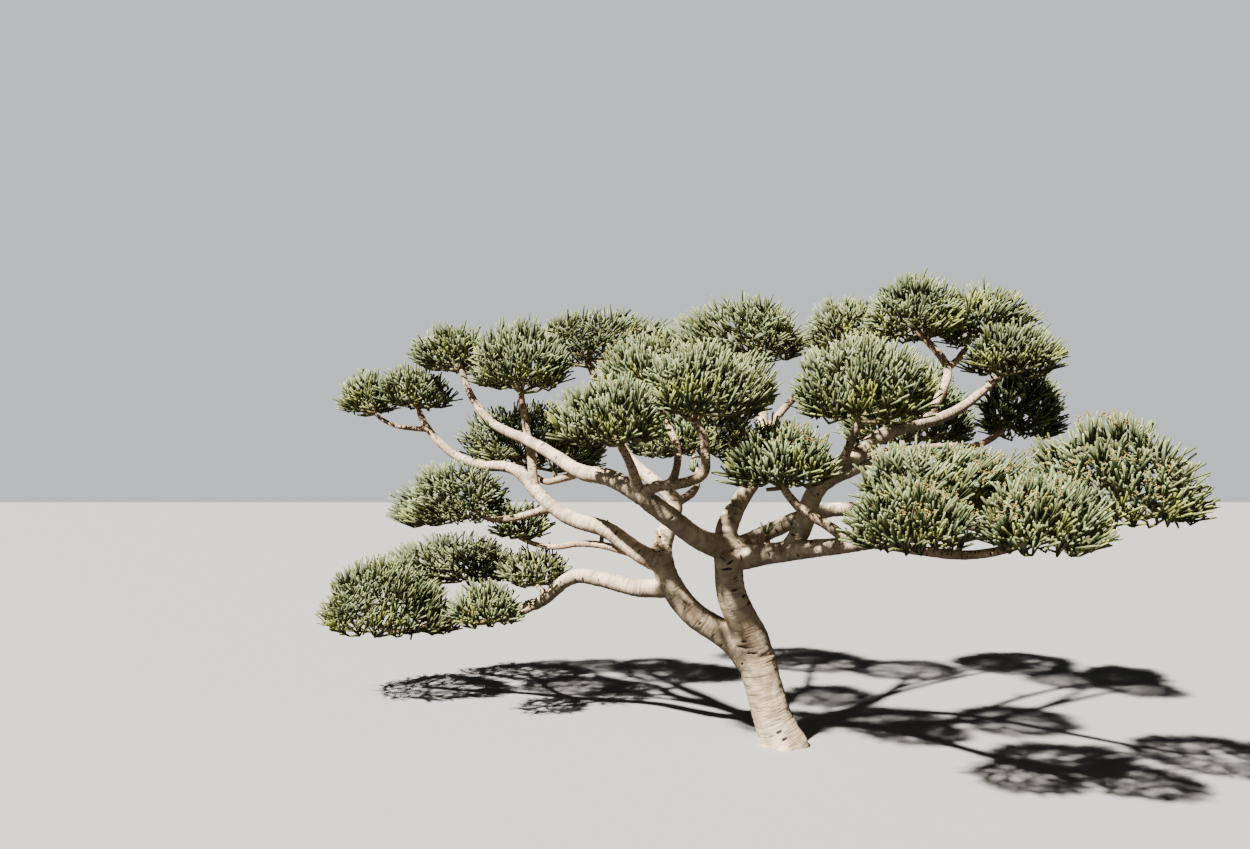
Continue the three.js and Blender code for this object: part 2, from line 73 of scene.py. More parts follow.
LIMBS = [
    limb_row("left_leader", "trunk", 0.86, 2940, [163, 174, 166, 36, 121, 127, 120, 128, 138],
             [52, 27, 62, 64, 23, 28, 51, 59, 60], [180, 150, 104, 72, 46]),
    limb_row("right_leader", "trunk", 0.92, 2370, [193, 203, 174, 38, 51, 70, 80, 88, 91],
             [78, 59, 90, 60, 32, 50, 57, 63, 65], [216, 176, 100, 74, 54]),
    limb_row("low_left", "left_leader", 0.25, 2560, [154, 150, 142, 139, 155, 152, 157, 157, 158],
             [-18, 10, 5, -43, -12, -5, -19, -19, 15], [118, 44]),
    limb_row("low_back", "low_left", 0.56, 720, [129, 121, 122], [7, 6, 28], [50, 36]),
    limb_row("low_small", "low_left", 0.4, 120, [149, 150, 152], [-3, 22, 52], [44, 34]),
    limb_row("low_front", "low_left", 0.45, 370, [213, 198, 187], [-37, -13, -14], [46, 36]),
    limb_row("left_shelf", "left_leader", 0.3, 2410, [167, 151, 149, 150, 143, 154, 153, 151, 146],
             [17, 36, 7, 33, 44, -3, 22, 41, 61], [128, 46]),
    limb_row("left_middle", "left_shelf", 0.47, 680, [100, 132, 125], [81, 70, 74], [70, 48]),
    limb_row("left_tip", "left_shelf", 0.92, 470, [163, 161, 165], [-1, 10, 38], [42, 32]),
    limb_row("left_under", "left_shelf", 0.38, 690, [161, 158, 146], [-20, -9, 35], [58, 40]),
    limb_row("left_small", "left_leader", 0.3, 1190, [158, 146, 141, 157], [17, 10, -12, 24], [62, 34]),
    limb_row("back_middle", "left_leader", 0.46, 1180, [56, 84, 94], [8, 17, 34], [66, 42]),
    limb_row("left_crest", "right_leader", 0.31, 2870, [204, 221, 166, 120, 128, 132, 136, 140, 144],
             [10, 34, 37, 0, 23, 19, 16, 42, 70], [136, 46]),
    limb_row("left_inner", "left_crest", 0.43, 1090, [118, 113, 119], [-7, -5, 29], [56, 40]),
    limb_row("front_left", "left_crest", 0.25, 330, [260, 241, 220], [55, 55, 51], [66, 50]),
    limb_row("front_middle", "left_crest", 0.24, 740, [310, 332, 357, 224, 174], [42, 1, 19, 92, 57],
             [72, 50]),
    limb_row("inner_middle", "front_middle", 0.31, 700, [50, 111, 121], [58, 45, 51], [50, 40]),
    limb_row("top_back", "right_leader", 0.7, 1170, [49, 36, 30], [46, 32, 40], [58, 42]),
    limb_row("back_right", "right_leader", 0.57, 1640, [48, 36, 34], [9, 3, 22], [60, 44]),
    limb_row("near_left", "right_leader", 0.28, 1400, [336, 302, 287], [10, 8, 7], [150, 52]),
    limb_row("near_right", "near_left", 0.77, 770, [310, 324, 332], [-7, -5, 25], [60, 44]),
    limb_row("near_upper", "near_left", 0.64, 510, [286, 292, 312], [30, 20, 14], [64, 46]),
    limb_row("front_low", "near_left", 0.64, 470, [142, 167, 180], [44, 27, 59], [66, 50]),
    limb_row("right_shoulder", "near_left", 0.29, 2120, [348, 341, 350, 380, 393, 391, 391, 389, 386],
             [50, 77, 37, 38, 13, 9, 21, 31, 35], [124, 48]),
    limb_row("front_right", "right_shoulder", 0.28, 310, [284, 289, 313], [44, 54, 66], [60, 48]),
    limb_row("top_right", "right_shoulder", 0.6, 1010, [44, 47, 187], [26, 47, 51], [72, 46]),
    limb_row("top_far_right", "top_right", 0.63, 340, [29, 36, 43], [26, 39, 61], [48, 40]),
    limb_row("right_back", "right_shoulder", 0.22, 2020, [40, 41, 37, 30, 29], [14, 14, 7, 0, 42], [76, 44]),
    limb_row("far_right", "right_leader", 0.3, 2360, [18, 4, -28, -42, -45, -41], [23, 24, -8, -5, -3, 31],
             [112, 50]),
]
PATH_STEPS = 24

# Short snags on the limbs: an old cut that has healed over, and a dead peg
SNAGS = [
    limb_row("old_cut", "right_leader", 0.27, 74, [262, 262], [2, 8], [150, 112]),
    limb_row("dead_peg", "left_leader", 0.31, 190, [205, 200], [72, 80], [44, 20]),
]

# Masses of finger stems: name, width, depth and height of its space, shift in plan from the tip of the limb
# that carries it, and how far the space reaches below the tip
MASSES = [
    ("left_tip", (490, 480, 460), (-100, 30), 50),
    ("left_shelf", (740, 700, 450), (-40, 50), 35),
    ("left_crest", (790, 740, 450), (-100, 40), 35),
    ("left_middle", (850, 780, 640), (-10, 0), 15),
    ("back_crest", (1430, 980, 530), (190, 150), 50),
    ("front_left", (840, 740, 560), (-50, -60), 45),
    ("front_middle", (920, 880, 580), (75, -30), 15),
    ("inner_middle", (790, 900, 510), (-40, 80), 15),
    ("top_middle", (1150, 980, 600), (-180, 50), 95),
    ("top_back", (740, 820, 560), (0, 80), 95),
    ("front_right", (940, 920, 630), (20, -30), 50),
    ("top_right", (780, 880, 620), (-5, 10), 180),
    ("top_far_right", (800, 760, 550), (165, 80), 100),
    ("right_shoulder", (730, 840, 480), (88, 0), 35),
    ("right_back", (720, 760, 770), (160, 130), 245),
    ("front_low", (810, 690, 490), (-55, -60), 15),
    ("near_upper", (1150, 780, 490), (190, -10), 50),
    ("near_left", (800, 740, 450), (-40, -220), 90),
    ("near_right", (830, 720, 490), (0, -130), 90),
    ("far_right", (1060, 940, 790), (-72, -45), 205),
    ("left_inner", (1330, 920, 640), (35, 125), 90),
    ("left_under", (1150, 880, 620), (-122, 50), 240),
    ("left_small", (520, 480, 330), (-20, 40), 50),
    ("low_left", (1240, 1050, 780), (120, -60), 110),
    ("low_back", (1260, 900, 500), (-190, 210), 90),
    ("low_small", (600, 540, 330), (-40, 20), 30),
    ("low_front", (600, 560, 380), (-20, -20), 50),
    ("back_middle", (1260, 1010, 620), (0, 80), 130),
    ("back_right", (1180, 1030, 900), (90, 120), 150),
]
# The masses whose limb has another name
CARRIED_BY = {"back_crest": "left_leader", "top_middle": "right_leader"}
# A space is widest at one share of its height, and its outline is measured from its heart at another
WIDEST_SHARE = 0.34
HEART_SHARE = 0.3
# What each mass keeps free to the level that parts it from a neighbour
CELL_MARGIN = 2
GOLDEN_ANGLE = 180 * (3 - math.sqrt(5))
# The power in the mean that gives an egg-shaped dome's area
AREA_POWER = 1.6

# Masses in flower, with the share of their upper sprays that carry blossom
IN_FLOWER = {"inner_middle": 0.3, "front_low": 0.5, "near_upper": 0.45, "near_left": 0.4, "near_right": 0.4,
             "far_right": 0.3, "front_left": 0.12}
# Sprays whose direction rises more than this count as upper ones
FLOWERING_ABOVE = 0.25
# Share of a flowering spray's tips with blossom, and of other tips without a growing point
BLOSSOMED_TIPS = 0.8
BUDLESS_TIPS = 0.97
# Painted shade: what is left of a finger's and a twig's brightness at their feet, where the stems shade one
# another
FINGER_SHADED_FOOT = 0.15
TWIG_SHADED_FOOT = 0.8

# Small shoots straight off a limb: limb, share of its length, bearing, rise and number of fingers
SHOOTS = [
    ("near_left", 0.2, 100, 70, 6),
    ("left_inner", 0.42, 250, 60, 5),
    ("left_small", 0.4, 80, 75, 4),
    ("low_left", 0.58, 200, 65, 5),
    ("back_middle", 0.5, 130, 70, 6),
    ("right_back", 0.45, 120, 60, 5),
]

# Kinds of finger stem, with their shares among the sprays that point up and those that point out low down
FINGER_KINDS = ("sage", "celadon", "grey_green", "olive", "lime")
KIND_WEIGHTS_HIGH = (0.3, 0.28, 0.24, 0.13, 0.05)
KIND_WEIGHTS_LOW = (0.2, 0.14, 0.12, 0.28, 0.26)
# Sprays whose direction rises less than this count as low ones
LOW_SPRAYS = 0.22


def shade(code):
    """A colour's linear red, green, blue and alpha from its six-figure web code."""
    parts = [int(code[i:i + 2], 16) / 255 for i in (0, 2, 4)]
    return tuple([p / 12.92 if p <= 0.04045 else ((p + 0.055) / 1.055) ** 2.4 for p in parts] + [1.0])


def darker(colour, share):
    """A colour taken down to a share of its brightness."""
    return tuple([share * c for c in colour[:3]] + [1])


def length_setting(name, description, default):
    return bpy.props.FloatProperty(name=name, description=description, default=default, unit="LENGTH", min=0)


def colour_setting(name, description, code):
    return bpy.props.FloatVectorProperty(
        name=name, description=description, default=shade(code), subtype="COLOR", size=4, min=0, max=1)


class SpurgeSizes(bpy.types.PropertyGroup):
    finger_thickness: length_setting("Finger thickness", "Diameter of a finger stem", 0.0118)
    finger_length: length_setting("Finger length", "Length of the last, unbranched part of a stem", 0.19)
    fingers_per_area: bpy.props.FloatProperty(
        name="Fingers per square metre", description="Finger stems for each square metre of a mass's dome",
        default=720, min=10)
    fork_count: bpy.props.FloatProperty(
        name="Stems per fork", description="How many stems leave each fork on average", default=2.7, min=1.5)
    lowest_angle: bpy.props.FloatProperty(
        name="Lowest angle", description="How far below level the lowest finger stems point",
        default=math.radians(-7), subtype="ANGLE")
    hub_thickness: length_setting(
        "First stem thickness", "Diameter of the stems that leave a bough's tip", 0.027)
    bark_grain: length_setting("Bark grain", "Size of the cells that the bark's skin is drawn from", 0.0068)
    bark_relief: length_setting("Bark relief", "Height of the lumps and wrinkles of the bark", 0.0022)


class SpurgeColours(bpy.types.PropertyGroup):
    bark_pale: colour_setting("Pale bark", "Bark where it is weathered", "CBB593")
    bark_warm: colour_setting("Warm bark", "Bark in its warmer patches", "75644F")
    # Painted shade: the undersides' darker red-brown, also used to darken the wrinkles' grooves
    bark_painted_shade: colour_setting("Underside", "Red-brown bark on the limbs' undersides", "4A382C")
    bark_streak: colour_setting("Streaks", "Orange-brown streaks and patches", "8E6440")
    # The scars' and flecks' own dark colour, also painted into the creases as shade
    bark_scar_and_crease_shade: colour_setting("Scars", "Dark lens-shaped leaf scars", "2C231D")
    sage: colour_setting("Sage", "Sage finger stems", "747C52")
    celadon: colour_setting("Celadon", "Pale blue-green finger stems", "858F62")
    grey_green: colour_setting("Grey-green", "Grey-green finger stems", "606A46")
    olive: colour_setting("Olive", "Olive finger stems", "5B6035")
    lime: colour_setting("Lime", "Yellow-green finger stems", "8A8F48")
    woody_twig: colour_setting("Woody twigs", "First stems from the boughs' tips", "7A6B45")
    green_twig: colour_setting("Green twigs", "Forked stems under the fingers", "5A5932")
    blossom: colour_setting("Blossom", "Small orange-brown flowers", "7C5F2C")
    blossom_yellow: colour_setting("Pale blossom", "Small olive-yellow flowers", "8E8442")
    growing_tip: colour_setting("Growing tips", "Dark red growing points", "5E2C22")
    floor: colour_setting("Floor", "Plain pale floor", "807E7A")


def between(values, share):
    """The value at a share of an evenly spaced list."""
    place = share * (len(values) - 1)
    first = min(int(place), len(values) - 2)
    return values[first] + (values[first + 1] - values[first]) * (place - first)


def heading(bearing, rise):
    turn = math.radians(bearing)
    climb = math.radians(rise)
    return Vector((math.cos(climb) * math.cos(turn), math.cos(climb) * math.sin(turn), math.sin(climb)))


def limb_points(start, limb):
    points = [start]
    for i in range(PATH_STEPS):
        share = (i + 0.5) / PATH_STEPS
        way = heading(between(limb["bearing"], share), between(limb["rise"], share))
        points.append(points[-1] + way * (limb["length"] * MM / PATH_STEPS))
    return points


def grow_limbs():
    """Every limb and snag with its points, in the order in which they leave one another."""
    grown = {"trunk": {**TRUNK, "points": limb_points(Vector(), TRUNK)}}
    for limb in LIMBS + SNAGS:
        parent = grown[limb["from"]]["points"]
        grown[limb["name"]] = {**limb, "points": limb_points(between(parent, limb["at"]), limb)}
    return grown


limbs = grow_limbs()


def smooth_path(points, step):
    """Points a step apart on a smooth curve through the given ones."""
    path = []
    for i in range(len(points) - 1):
        a = points[max(i - 1, 0)]
        b = points[i]
        c = points[i + 1]
        d = points[min(i + 2, len(points) - 1)]
        count = max(1, round((c - b).length / step))
        for k in range(count):
            t = k / count
            bend = (2 * a - 5 * b + 4 * c - d) * t + (3 * b - a - 3 * c + d) * t * t
            path.append(b + ((c - a) + bend) * (t / 2))
    path.append(points[-1])
    return path


def framed_path(path):
    """For each point of a path, two directions across it that don't twist from one point to the next."""
    frames = []
    side = None
    for i, point in enumerate(path):
        way = (path[min(i + 1, len(path) - 1)] - path[max(i - 1, 0)]).normalized()
        side = way.orthogonal() if side is None else side - way * side.dot(way)
        side = side.normalized()
        frames.append((point, side, way.cross(side), way))
    return frames


RING_STEP = 0.03
# A limb's collar: its swelling, its reach in parent radii, and its most as a share of the parent's radius
COLLAR_SHARE = 0.4
COLLAR_REACH = 1.25
COLLAR_MOST = 0.94
# A limb's rounded end: its rings, and its length and swelling as shares of the limb's radius
ROUND_END_STEPS = 5
ROUND_END_LENGTH = 1.15
ROUND_END_SWELL = 1.12
# How narrow the trunk's buried last ring is
CLOSING_SHARE = 0.7


def limb_radius(limb, share):
    """A limb's radius with its swollen collar, in metres."""
    radius = between(limb["thick"], share) / 2
    if "from" not in limb:
        return radius * MM
    parent = limbs[limb["from"]]
    parent_radius = between(parent["thick"], limb["at"]) / 2
    away = share * limb["length"] / (COLLAR_REACH * parent_radius)
    swollen = radius * (1 + COLLAR_SHARE * math.exp(-away * away))
    return min(swollen, max(radius, COLLAR_MOST * parent_radius)) * MM


def limb_rings(limb):
    """The rings of a limb's tube: point, the two directions across it, the way along it and the radius."""
    path = smooth_path(limb["points"], RING_STEP)
    rings = []
    for i, (point, side, across, way) in enumerate(framed_path(path)):
        rings.append((point, side, across, way, limb_radius(limb, i / (len(path) - 1))))
    point, side, across, way, radius = rings[-1]
    # A rounded, slightly swollen end, which the stems of a mass leave
    for k in range(1, ROUND_END_STEPS + 1):
        turn = 0.5 * math.pi * k / (ROUND_END_STEPS + 0.5)
        end = point + way * (ROUND_END_LENGTH * radius * math.sin(turn))
        rings.append((end, side, across, way, ROUND_END_SWELL * radius * math.cos(turn)))
    return rings


def trunk_rings():
    """The trunk's rings run on below the ground, where the skin is cut flat."""
    way = heading(TRUNK["bearing"][0], TRUNK["rise"][0])
    points = [way * (-BELOW_CUT * MM)] + limbs["trunk"]["points"]
    path = smooth_path(points, RING_STEP)
    whole = TRUNK["length"] + BELOW_CUT
    rings = []
    for i, (point, side, across, along) in enumerate(framed_path(path)):
        height = max(0, i / (len(path) - 1) * whole - BELOW_CUT)
        fade = math.exp(-height / FLARE_HEIGHT)
        radius = between(TRUNK["thick"], height / TRUNK["length"]) / 2 + ROOT_FLARE * fade
        closing = 1 if i < len(path) - 1 else CLOSING_SHARE
        rings.append((point, side, across, along, radius * closing * MM))
    return rings


def buttress(ring, turn):
    """How much further a trunk ring stands out at a turn about its middle."""
    fade = math.exp(-max(ring[0].z, 0) / (FLARE_HEIGHT * MM))
    return 1 + BUTTRESS_SHARE * fade * math.cos(BUTTRESSES * turn)


TUBE_SIDES = 20


def add_tube(shape, rings, stretch=None):
    """Sweeps a circle through rings in a bmesh and closes both ends."""
    made = bmesh.ops.create_circle(shape, segments=TUBE_SIDES, radius=1, cap_ends=False)
    verts = made["verts"]
    turns = [math.atan2(v.co.y, v.co.x) for v in verts]
    first = list({e for v in verts for e in v.link_edges})
    edges = first
    for i, ring in enumerate(rings):
        if i:
            made = bmesh.ops.extrude_edge_only(shape, edges=edges)["geom"]
            fresh = [g for g in made if isinstance(g, bmesh.types.BMVert)]
            edges = [g for g in made
                     if isinstance(g, bmesh.types.BMEdge) and all(v in fresh for v in g.verts)]
            # Each new corner takes the rank of the one that it was drawn out of
            pairs = [(v, e.other_vert(v)) for v in fresh for e in v.link_edges]
            order = {v: ranks[other] for v, other in pairs if other in ranks}
            verts = sorted(fresh, key=order.get)
        ranks = {v: k for k, v in enumerate(verts)}
        point, side, across, _, radius = ring
        for v, turn in zip(verts, turns):
            reach = radius * (stretch(ring, turn) if stretch else 1)
            v.co = point + side * (reach * math.cos(turn)) + across * (reach * math.sin(turn))
    bmesh.ops.holes_fill(shape, edges=first, sides=0)
    bmesh.ops.holes_fill(shape, edges=edges, sides=0)


# How many rings near a point are compared, and the least radius that a ring counts with
NEAR_RINGS = 10
LEAST_RADIUS = 0.004


class LimbField:
    """Finds the limb under a point, and the point's place in a space that follows the limb."""

    def __init__(self, names):
        self.rows = []
        for number, name in enumerate(names):
            rings = trunk_rings() if name == "trunk" else limb_rings(limbs[name])
            along = 0.0
            for i, (point, side, across, way, radius) in enumerate(rings):
                if i:
                    along += (point - rings[i - 1][0]).length
                self.rows.append((number, point, side, across, way, max(radius, LEAST_RADIUS), along))
        self.tree = kdtree.KDTree(len(self.rows))
        for i, row in enumerate(self.rows):
            self.tree.insert(row[1], i)
        self.tree.balance()
        self.names = names

    def places(self, points):
        """Limb number, place across, place along and radius for each point."""
        numbers = np.zeros(len(points), int)
        local = np.zeros((len(points), 3))
        radii = np.zeros(len(points))
        for i, point in enumerate(points):
            best = None
            for _, k, reach in self.tree.find_n(point, NEAR_RINGS):
                depth = reach - self.rows[k][5]
                if best is None or depth < best[0]:
                    best = (depth, k)
            number, centre, side, across, way, radius, along = self.rows[best[1]]
            off = point - centre
            numbers[i] = number
            local[i] = (off.dot(side), off.dot(across), along + off.dot(way))
            radii[i] = radius
        return numbers, local, radii


# Scars: lens-shaped marks across a limb, sunk, with a rim raised by a share of their depth
SCAR_HALF_WIDTH = 0.021
SCAR_HALF_HEIGHT = 0.0075
SCAR_DEPTH = 0.0035
SCAR_RIM = 0.35
SCAR_SIZES = (0.6, 1.35)
# How many scars a limb has, and the share of its length that has them, from its foot
SCARRED = {"trunk": 12, "left_leader": 30, "right_leader": 46, "left_shelf": 14, "near_left": 18,
           "left_crest": 16, "low_left": 14, "right_shoulder": 16, "far_right": 12}
SCARRED_SHARE = 0.62


def scar_list(names, random):
    """Seeded places of the scars on each limb: limb number, place along, turn and size."""
    scars = []
    for name, count in SCARRED.items():
        limb = limbs[name]
        for k in range(count):
            share = (k + 0.2 + 0.6 * random.random()) / count * SCARRED_SHARE
            along = share * limb["length"] * MM
            if name == "trunk":
                along = (k + 0.3) / count * limb["length"] * MM + BELOW_CUT * MM
            turn = random.uniform(-math.pi, math.pi)
            scars.append((names.index(name), along, turn, random.uniform(*SCAR_SIZES)))
    return scars


def scar_field(numbers, local, radii, scars):
    """Depth of a scar at each place, from 1 in its middle to below 0 on its raised rim."""
    depth = np.zeros(len(numbers))
    turn = np.arctan2(local[:, 1], local[:, 0])
    for number, along, at, size in scars:
        near = (numbers == number) & (np.abs(local[:, 2] - along) < 4 * SCAR_HALF_HEIGHT)
        if not near.any():
            continue
        around = (turn[near] - at + math.pi) % (2 * math.pi) - math.pi
        across = around * radii[near] / (SCAR_HALF_WIDTH * size)
        up = (local[near, 2] - along) / (SCAR_HALF_HEIGHT * size)
        reach = np.sqrt(across ** 2 + up ** 2)
        lens = np.where(reach < 1, 1 - reach ** 2, -SCAR_RIM * np.exp(-((reach - 1.35) / 0.35) ** 2))
        here = depth[near]
        depth[near] = np.where(np.abs(lens) > np.abs(here), lens, here)
    return depth


# Creases in metres, sunk into the skin and darkened with painted shade: middle, half sizes and slant. Five
# over and under the old cut, two at the fork.
CREASES = [
    ((-0.338, -0.17, 1.124), (0.027, 0.07, 0.011), 0.75),
    ((-0.352, -0.17, 1.084), (0.046, 0.07, 0.009), 0.1),
    ((-0.378, -0.16, 1.15), (0.03, 0.07, 0.005), -0.9),
    ((-0.296, -0.16, 1.024), (0.03, 0.07, 0.006), 0.5),
    ((-0.292, -0.16, 1.006), (0.022, 0.07, 0.005), 0.5),
    ((-0.26, -0.12, 0.6), (0.05, 0.08, 0.009), 0),
    ((-0.2, -0.13, 0.565), (0.05, 0.08, 0.006), 0.1),
]
CREASE_DEPTH = 0.013
# How far painted shade darkens the creases, towards the scars' colour
CREASE_PAINTED_SHADE = 0.75
# Height of the creases' waver, and its pace in radians for each metre
CREASE_WAVE = (0.002, 130)
# Braided ridges on one bough, between two shares of its length
BRAIDED = ("left_crest", 0.1, 0.32)
BRAID_HEIGHT = 0.005
BRAID_TURNS = 4
# Radians for each metre along the bough, how many times as many the crossing ridges have, and their height
BRAID_PITCH = 24
CROSSING_PITCH = 1.6
CROSSING_HEIGHT = 0.7


def crease_field(points):
    """How deep in a crease each point is, from 0 to 1. The creases waver up and down."""
    depth = np.zeros(len(points))
    height, pace = CREASE_WAVE
    wave = height * np.sin(points[:, 0] * pace)
    for middle, half, slant in CREASES:
        off = points - np.array(middle)
        off[:, 2] += wave - slant * off[:, 0]
        reach = np.linalg.norm(off / np.array(half), axis=1)
        depth = np.maximum(depth, np.clip(1.2 - 1.2 * reach * reach, 0, 1))
    return depth


def braid_field(numbers, local, names):
    """Height of the oblique ridges that cross one another on the braided bough, from 0 to 1."""
    name, first, last = BRAIDED
    length = limbs[name]["length"] * MM
    share = local[:, 2] / length
    turn = np.arctan2(local[:, 1], local[:, 0])
    fade = np.clip(8 * (share - first), 0, 1) * np.clip(8 * (last - share), 0, 1)
    fade = fade * (numbers == names.index(name))
    climb = BRAID_PITCH * local[:, 2]
    over = 1 - np.abs(np.sin(0.5 * BRAID_TURNS * turn + climb))
    under = 1 - np.abs(np.sin(0.5 * BRAID_TURNS * turn - CROSSING_PITCH * climb + 1))
    return fade * np.maximum(over, CROSSING_HEIGHT * under)


# Orange-brown patches in metres: middle and half sizes. Three lie on the front of the trunk and its fork, and
# one beside the old cut.
STAINS = [
    ((-0.15, -0.13, 0.52), (0.1, 0.09, 0.06)),
    ((-0.1, -0.13, 0.36), (0.03, 0.09, 0.14)),
    ((-0.22, -0.12, 0.66), (0.025, 0.07, 0.09)),
    ((-0.27, -0.1, 1.15), (0.06, 0.09, 0.08)),
]


def stain_field(points):
    """How stained each point is, from 0 to 1."""
    stained = np.zeros(len(points))
    for middle, half in STAINS:
        reach = np.linalg.norm((points - np.array(middle)) / np.array(half), axis=1)
        stained = np.maximum(stained, np.clip(1.5 - 1.2 * reach, 0, 1))
    return stained


def placed(name, data):
    """A new object in the scene."""
    piece = bpy.data.objects.new(name, data)
    bpy.context.scene.collection.objects.link(piece)
    return piece


def object_of(name, mesh, material):
    """A finished piece, riding on the tree's one body."""
    piece = placed(name, mesh)
    mesh.materials.append(material)
    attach(piece, "root")
    return piece


def node_group(name, inputs, outputs):
    """A new shader group with its sockets, its input node and its output node."""
    group = bpy.data.node_groups.new(name, "ShaderNodeTree")
    for label, kind, value in inputs:
        socket = group.interface.new_socket(name=label, in_out="INPUT", socket_type=kind)
        if value is not None:
            socket.default_value = value
    for label, kind in outputs:
        group.interface.new_socket(name=label, in_out="OUTPUT", socket_type=kind)
    return group, group.nodes.new("NodeGroupInput"), group.nodes.new("NodeGroupOutput")


def placed_noise(tree, vector, scale, detail):
    """A noise texture read at a vector."""
    texture = tree.nodes.new("ShaderNodeTexNoise")
    texture.inputs["Scale"].default_value = scale
    texture.inputs["Detail"].default_value = detail
    tree.links.new(vector, texture.inputs["Vector"])
    return texture.outputs["Fac"]


def ranged(tree, value, low, high, to_low=0.0, to_high=1.0):
    """A value taken from one range to another, held at its ends."""
    node = tree.nodes.new("ShaderNodeMapRange")
    node.inputs["From Min"].default_value = low
    node.inputs["From Max"].default_value = high
    node.inputs["To Min"].default_value = to_low
    node.inputs["To Max"].default_value = to_high
    tree.links.new(value, node.inputs["Value"])
    return node.outputs["Result"]


def calculated(tree, operation, *values):
    """One step of arithmetic on sockets or numbers."""
    node = tree.nodes.new("ShaderNodeMath")
    node.operation = operation
    for i, value in enumerate(values):
        if isinstance(value, (int, float)):
            node.inputs[i].default_value = value
        else:
            tree.links.new(value, node.inputs[i])
    return node.outputs[0]


def mixed(tree, share, first, second):
    """Two colours mixed by a share."""
    node = tree.nodes.new("ShaderNodeMix")
    node.data_type = "RGBA"
    for socket, value in (("Factor", share), ("A", first), ("B", second)):
        place = node.inputs[0] if socket == "Factor" else next(
            s for s in node.inputs if s.name == socket and s.type == "RGBA")
        if isinstance(value, (int, float, tuple)):
            place.default_value = value
        else:
            tree.links.new(value, place)
    return next(s for s in node.outputs if s.type == "RGBA")


def stretched(tree, vector, scale):
    node = tree.nodes.new("ShaderNodeMapping")
    node.inputs["Scale"].default_value = scale
    tree.links.new(vector, node.inputs["Vector"])
    return node.outputs["Vector"]


def mottle_group():
    """A colour broken up by soft patches of a second one."""
    sockets = [("Vector", "NodeSocketVector", None), ("Colour", "NodeSocketColor", (0.5, 0.5, 0.5, 1)),
               ("Patch colour", "NodeSocketColor", (0.3, 0.3, 0.3, 1)), ("Amount", "NodeSocketFloat", 0.5)]
    group, start, end = node_group("soft_patches", sockets, [("Colour", "NodeSocketColor")])
    wide = placed_noise(group, start.outputs["Vector"], 9, 4)
    mask = calculated(group, "MULTIPLY", ranged(group, wide, 0.4, 0.66), start.outputs["Amount"])
    colour = mixed(group, mask, start.outputs["Colour"], start.outputs["Patch colour"])
    group.links.new(colour, end.inputs["Colour"])
    return group


def wrinkle_group():
    """Fine wrinkles that run across a limb, as a mask of painted shade for their grooves and as a height."""
    group, start, end = node_group(
        "cross_wrinkles", [("Limb place", "NodeSocketVector", None)],
        [("Lines", "NodeSocketFloat"), ("Height", "NodeSocketFloat")])
    place = start.outputs["Limb place"]
    fine = placed_noise(group, stretched(group, place, (11, 11, 170)), 1, 3)
    broad = placed_noise(group, stretched(group, place, (9, 9, 56)), 1, 4)
    lines = ranged(group, fine, 0.52, 0.66)
    folds = ranged(group, broad, 0.53, 0.66)
    both = calculated(group, "MAXIMUM", calculated(group, "MULTIPLY", lines, 0.55), folds)
    group.links.new(both, end.inputs["Lines"])
    group.links.new(calculated(group, "SUBTRACT", 1.0, both), end.inputs["Height"])
    return group


def group_node(tree, group):
    node = tree.nodes.new("ShaderNodeGroup")
    node.node_tree = group
    return node


def object_place(tree):
    return tree.nodes.new("ShaderNodeTexCoord").outputs["Object"]


def patchy(tree, groups, colour, patch_colour, amount):
    """A colour with soft patches of another one."""
    patches = group_node(tree, groups["mottle"])
    tree.links.new(object_place(tree), patches.inputs["Vector"])
    patches.inputs["Colour"].default_value = colour
    patches.inputs["Patch colour"].default_value = patch_colour
    patches.inputs["Amount"].default_value = amount
    return patches.outputs["Colour"]


def new_material(name, roughness):
    material = bpy.data.materials.new(name)
    material.use_nodes = True
    shader = material.node_tree.nodes["Principled BSDF"]
    shader.inputs["Roughness"].default_value = roughness
    return material, material.node_tree, shader


def bump(tree, height, strength, distance):
    node = tree.nodes.new("ShaderNodeBump")
    node.inputs["Strength"].default_value = strength
    node.inputs["Distance"].default_value = distance
    tree.links.new(height, node.inputs["Height"])
    return node.outputs["Normal"]


def attribute(tree, name):
    node = tree.nodes.new("ShaderNodeAttribute")
    node.attribute_name = name
    return node


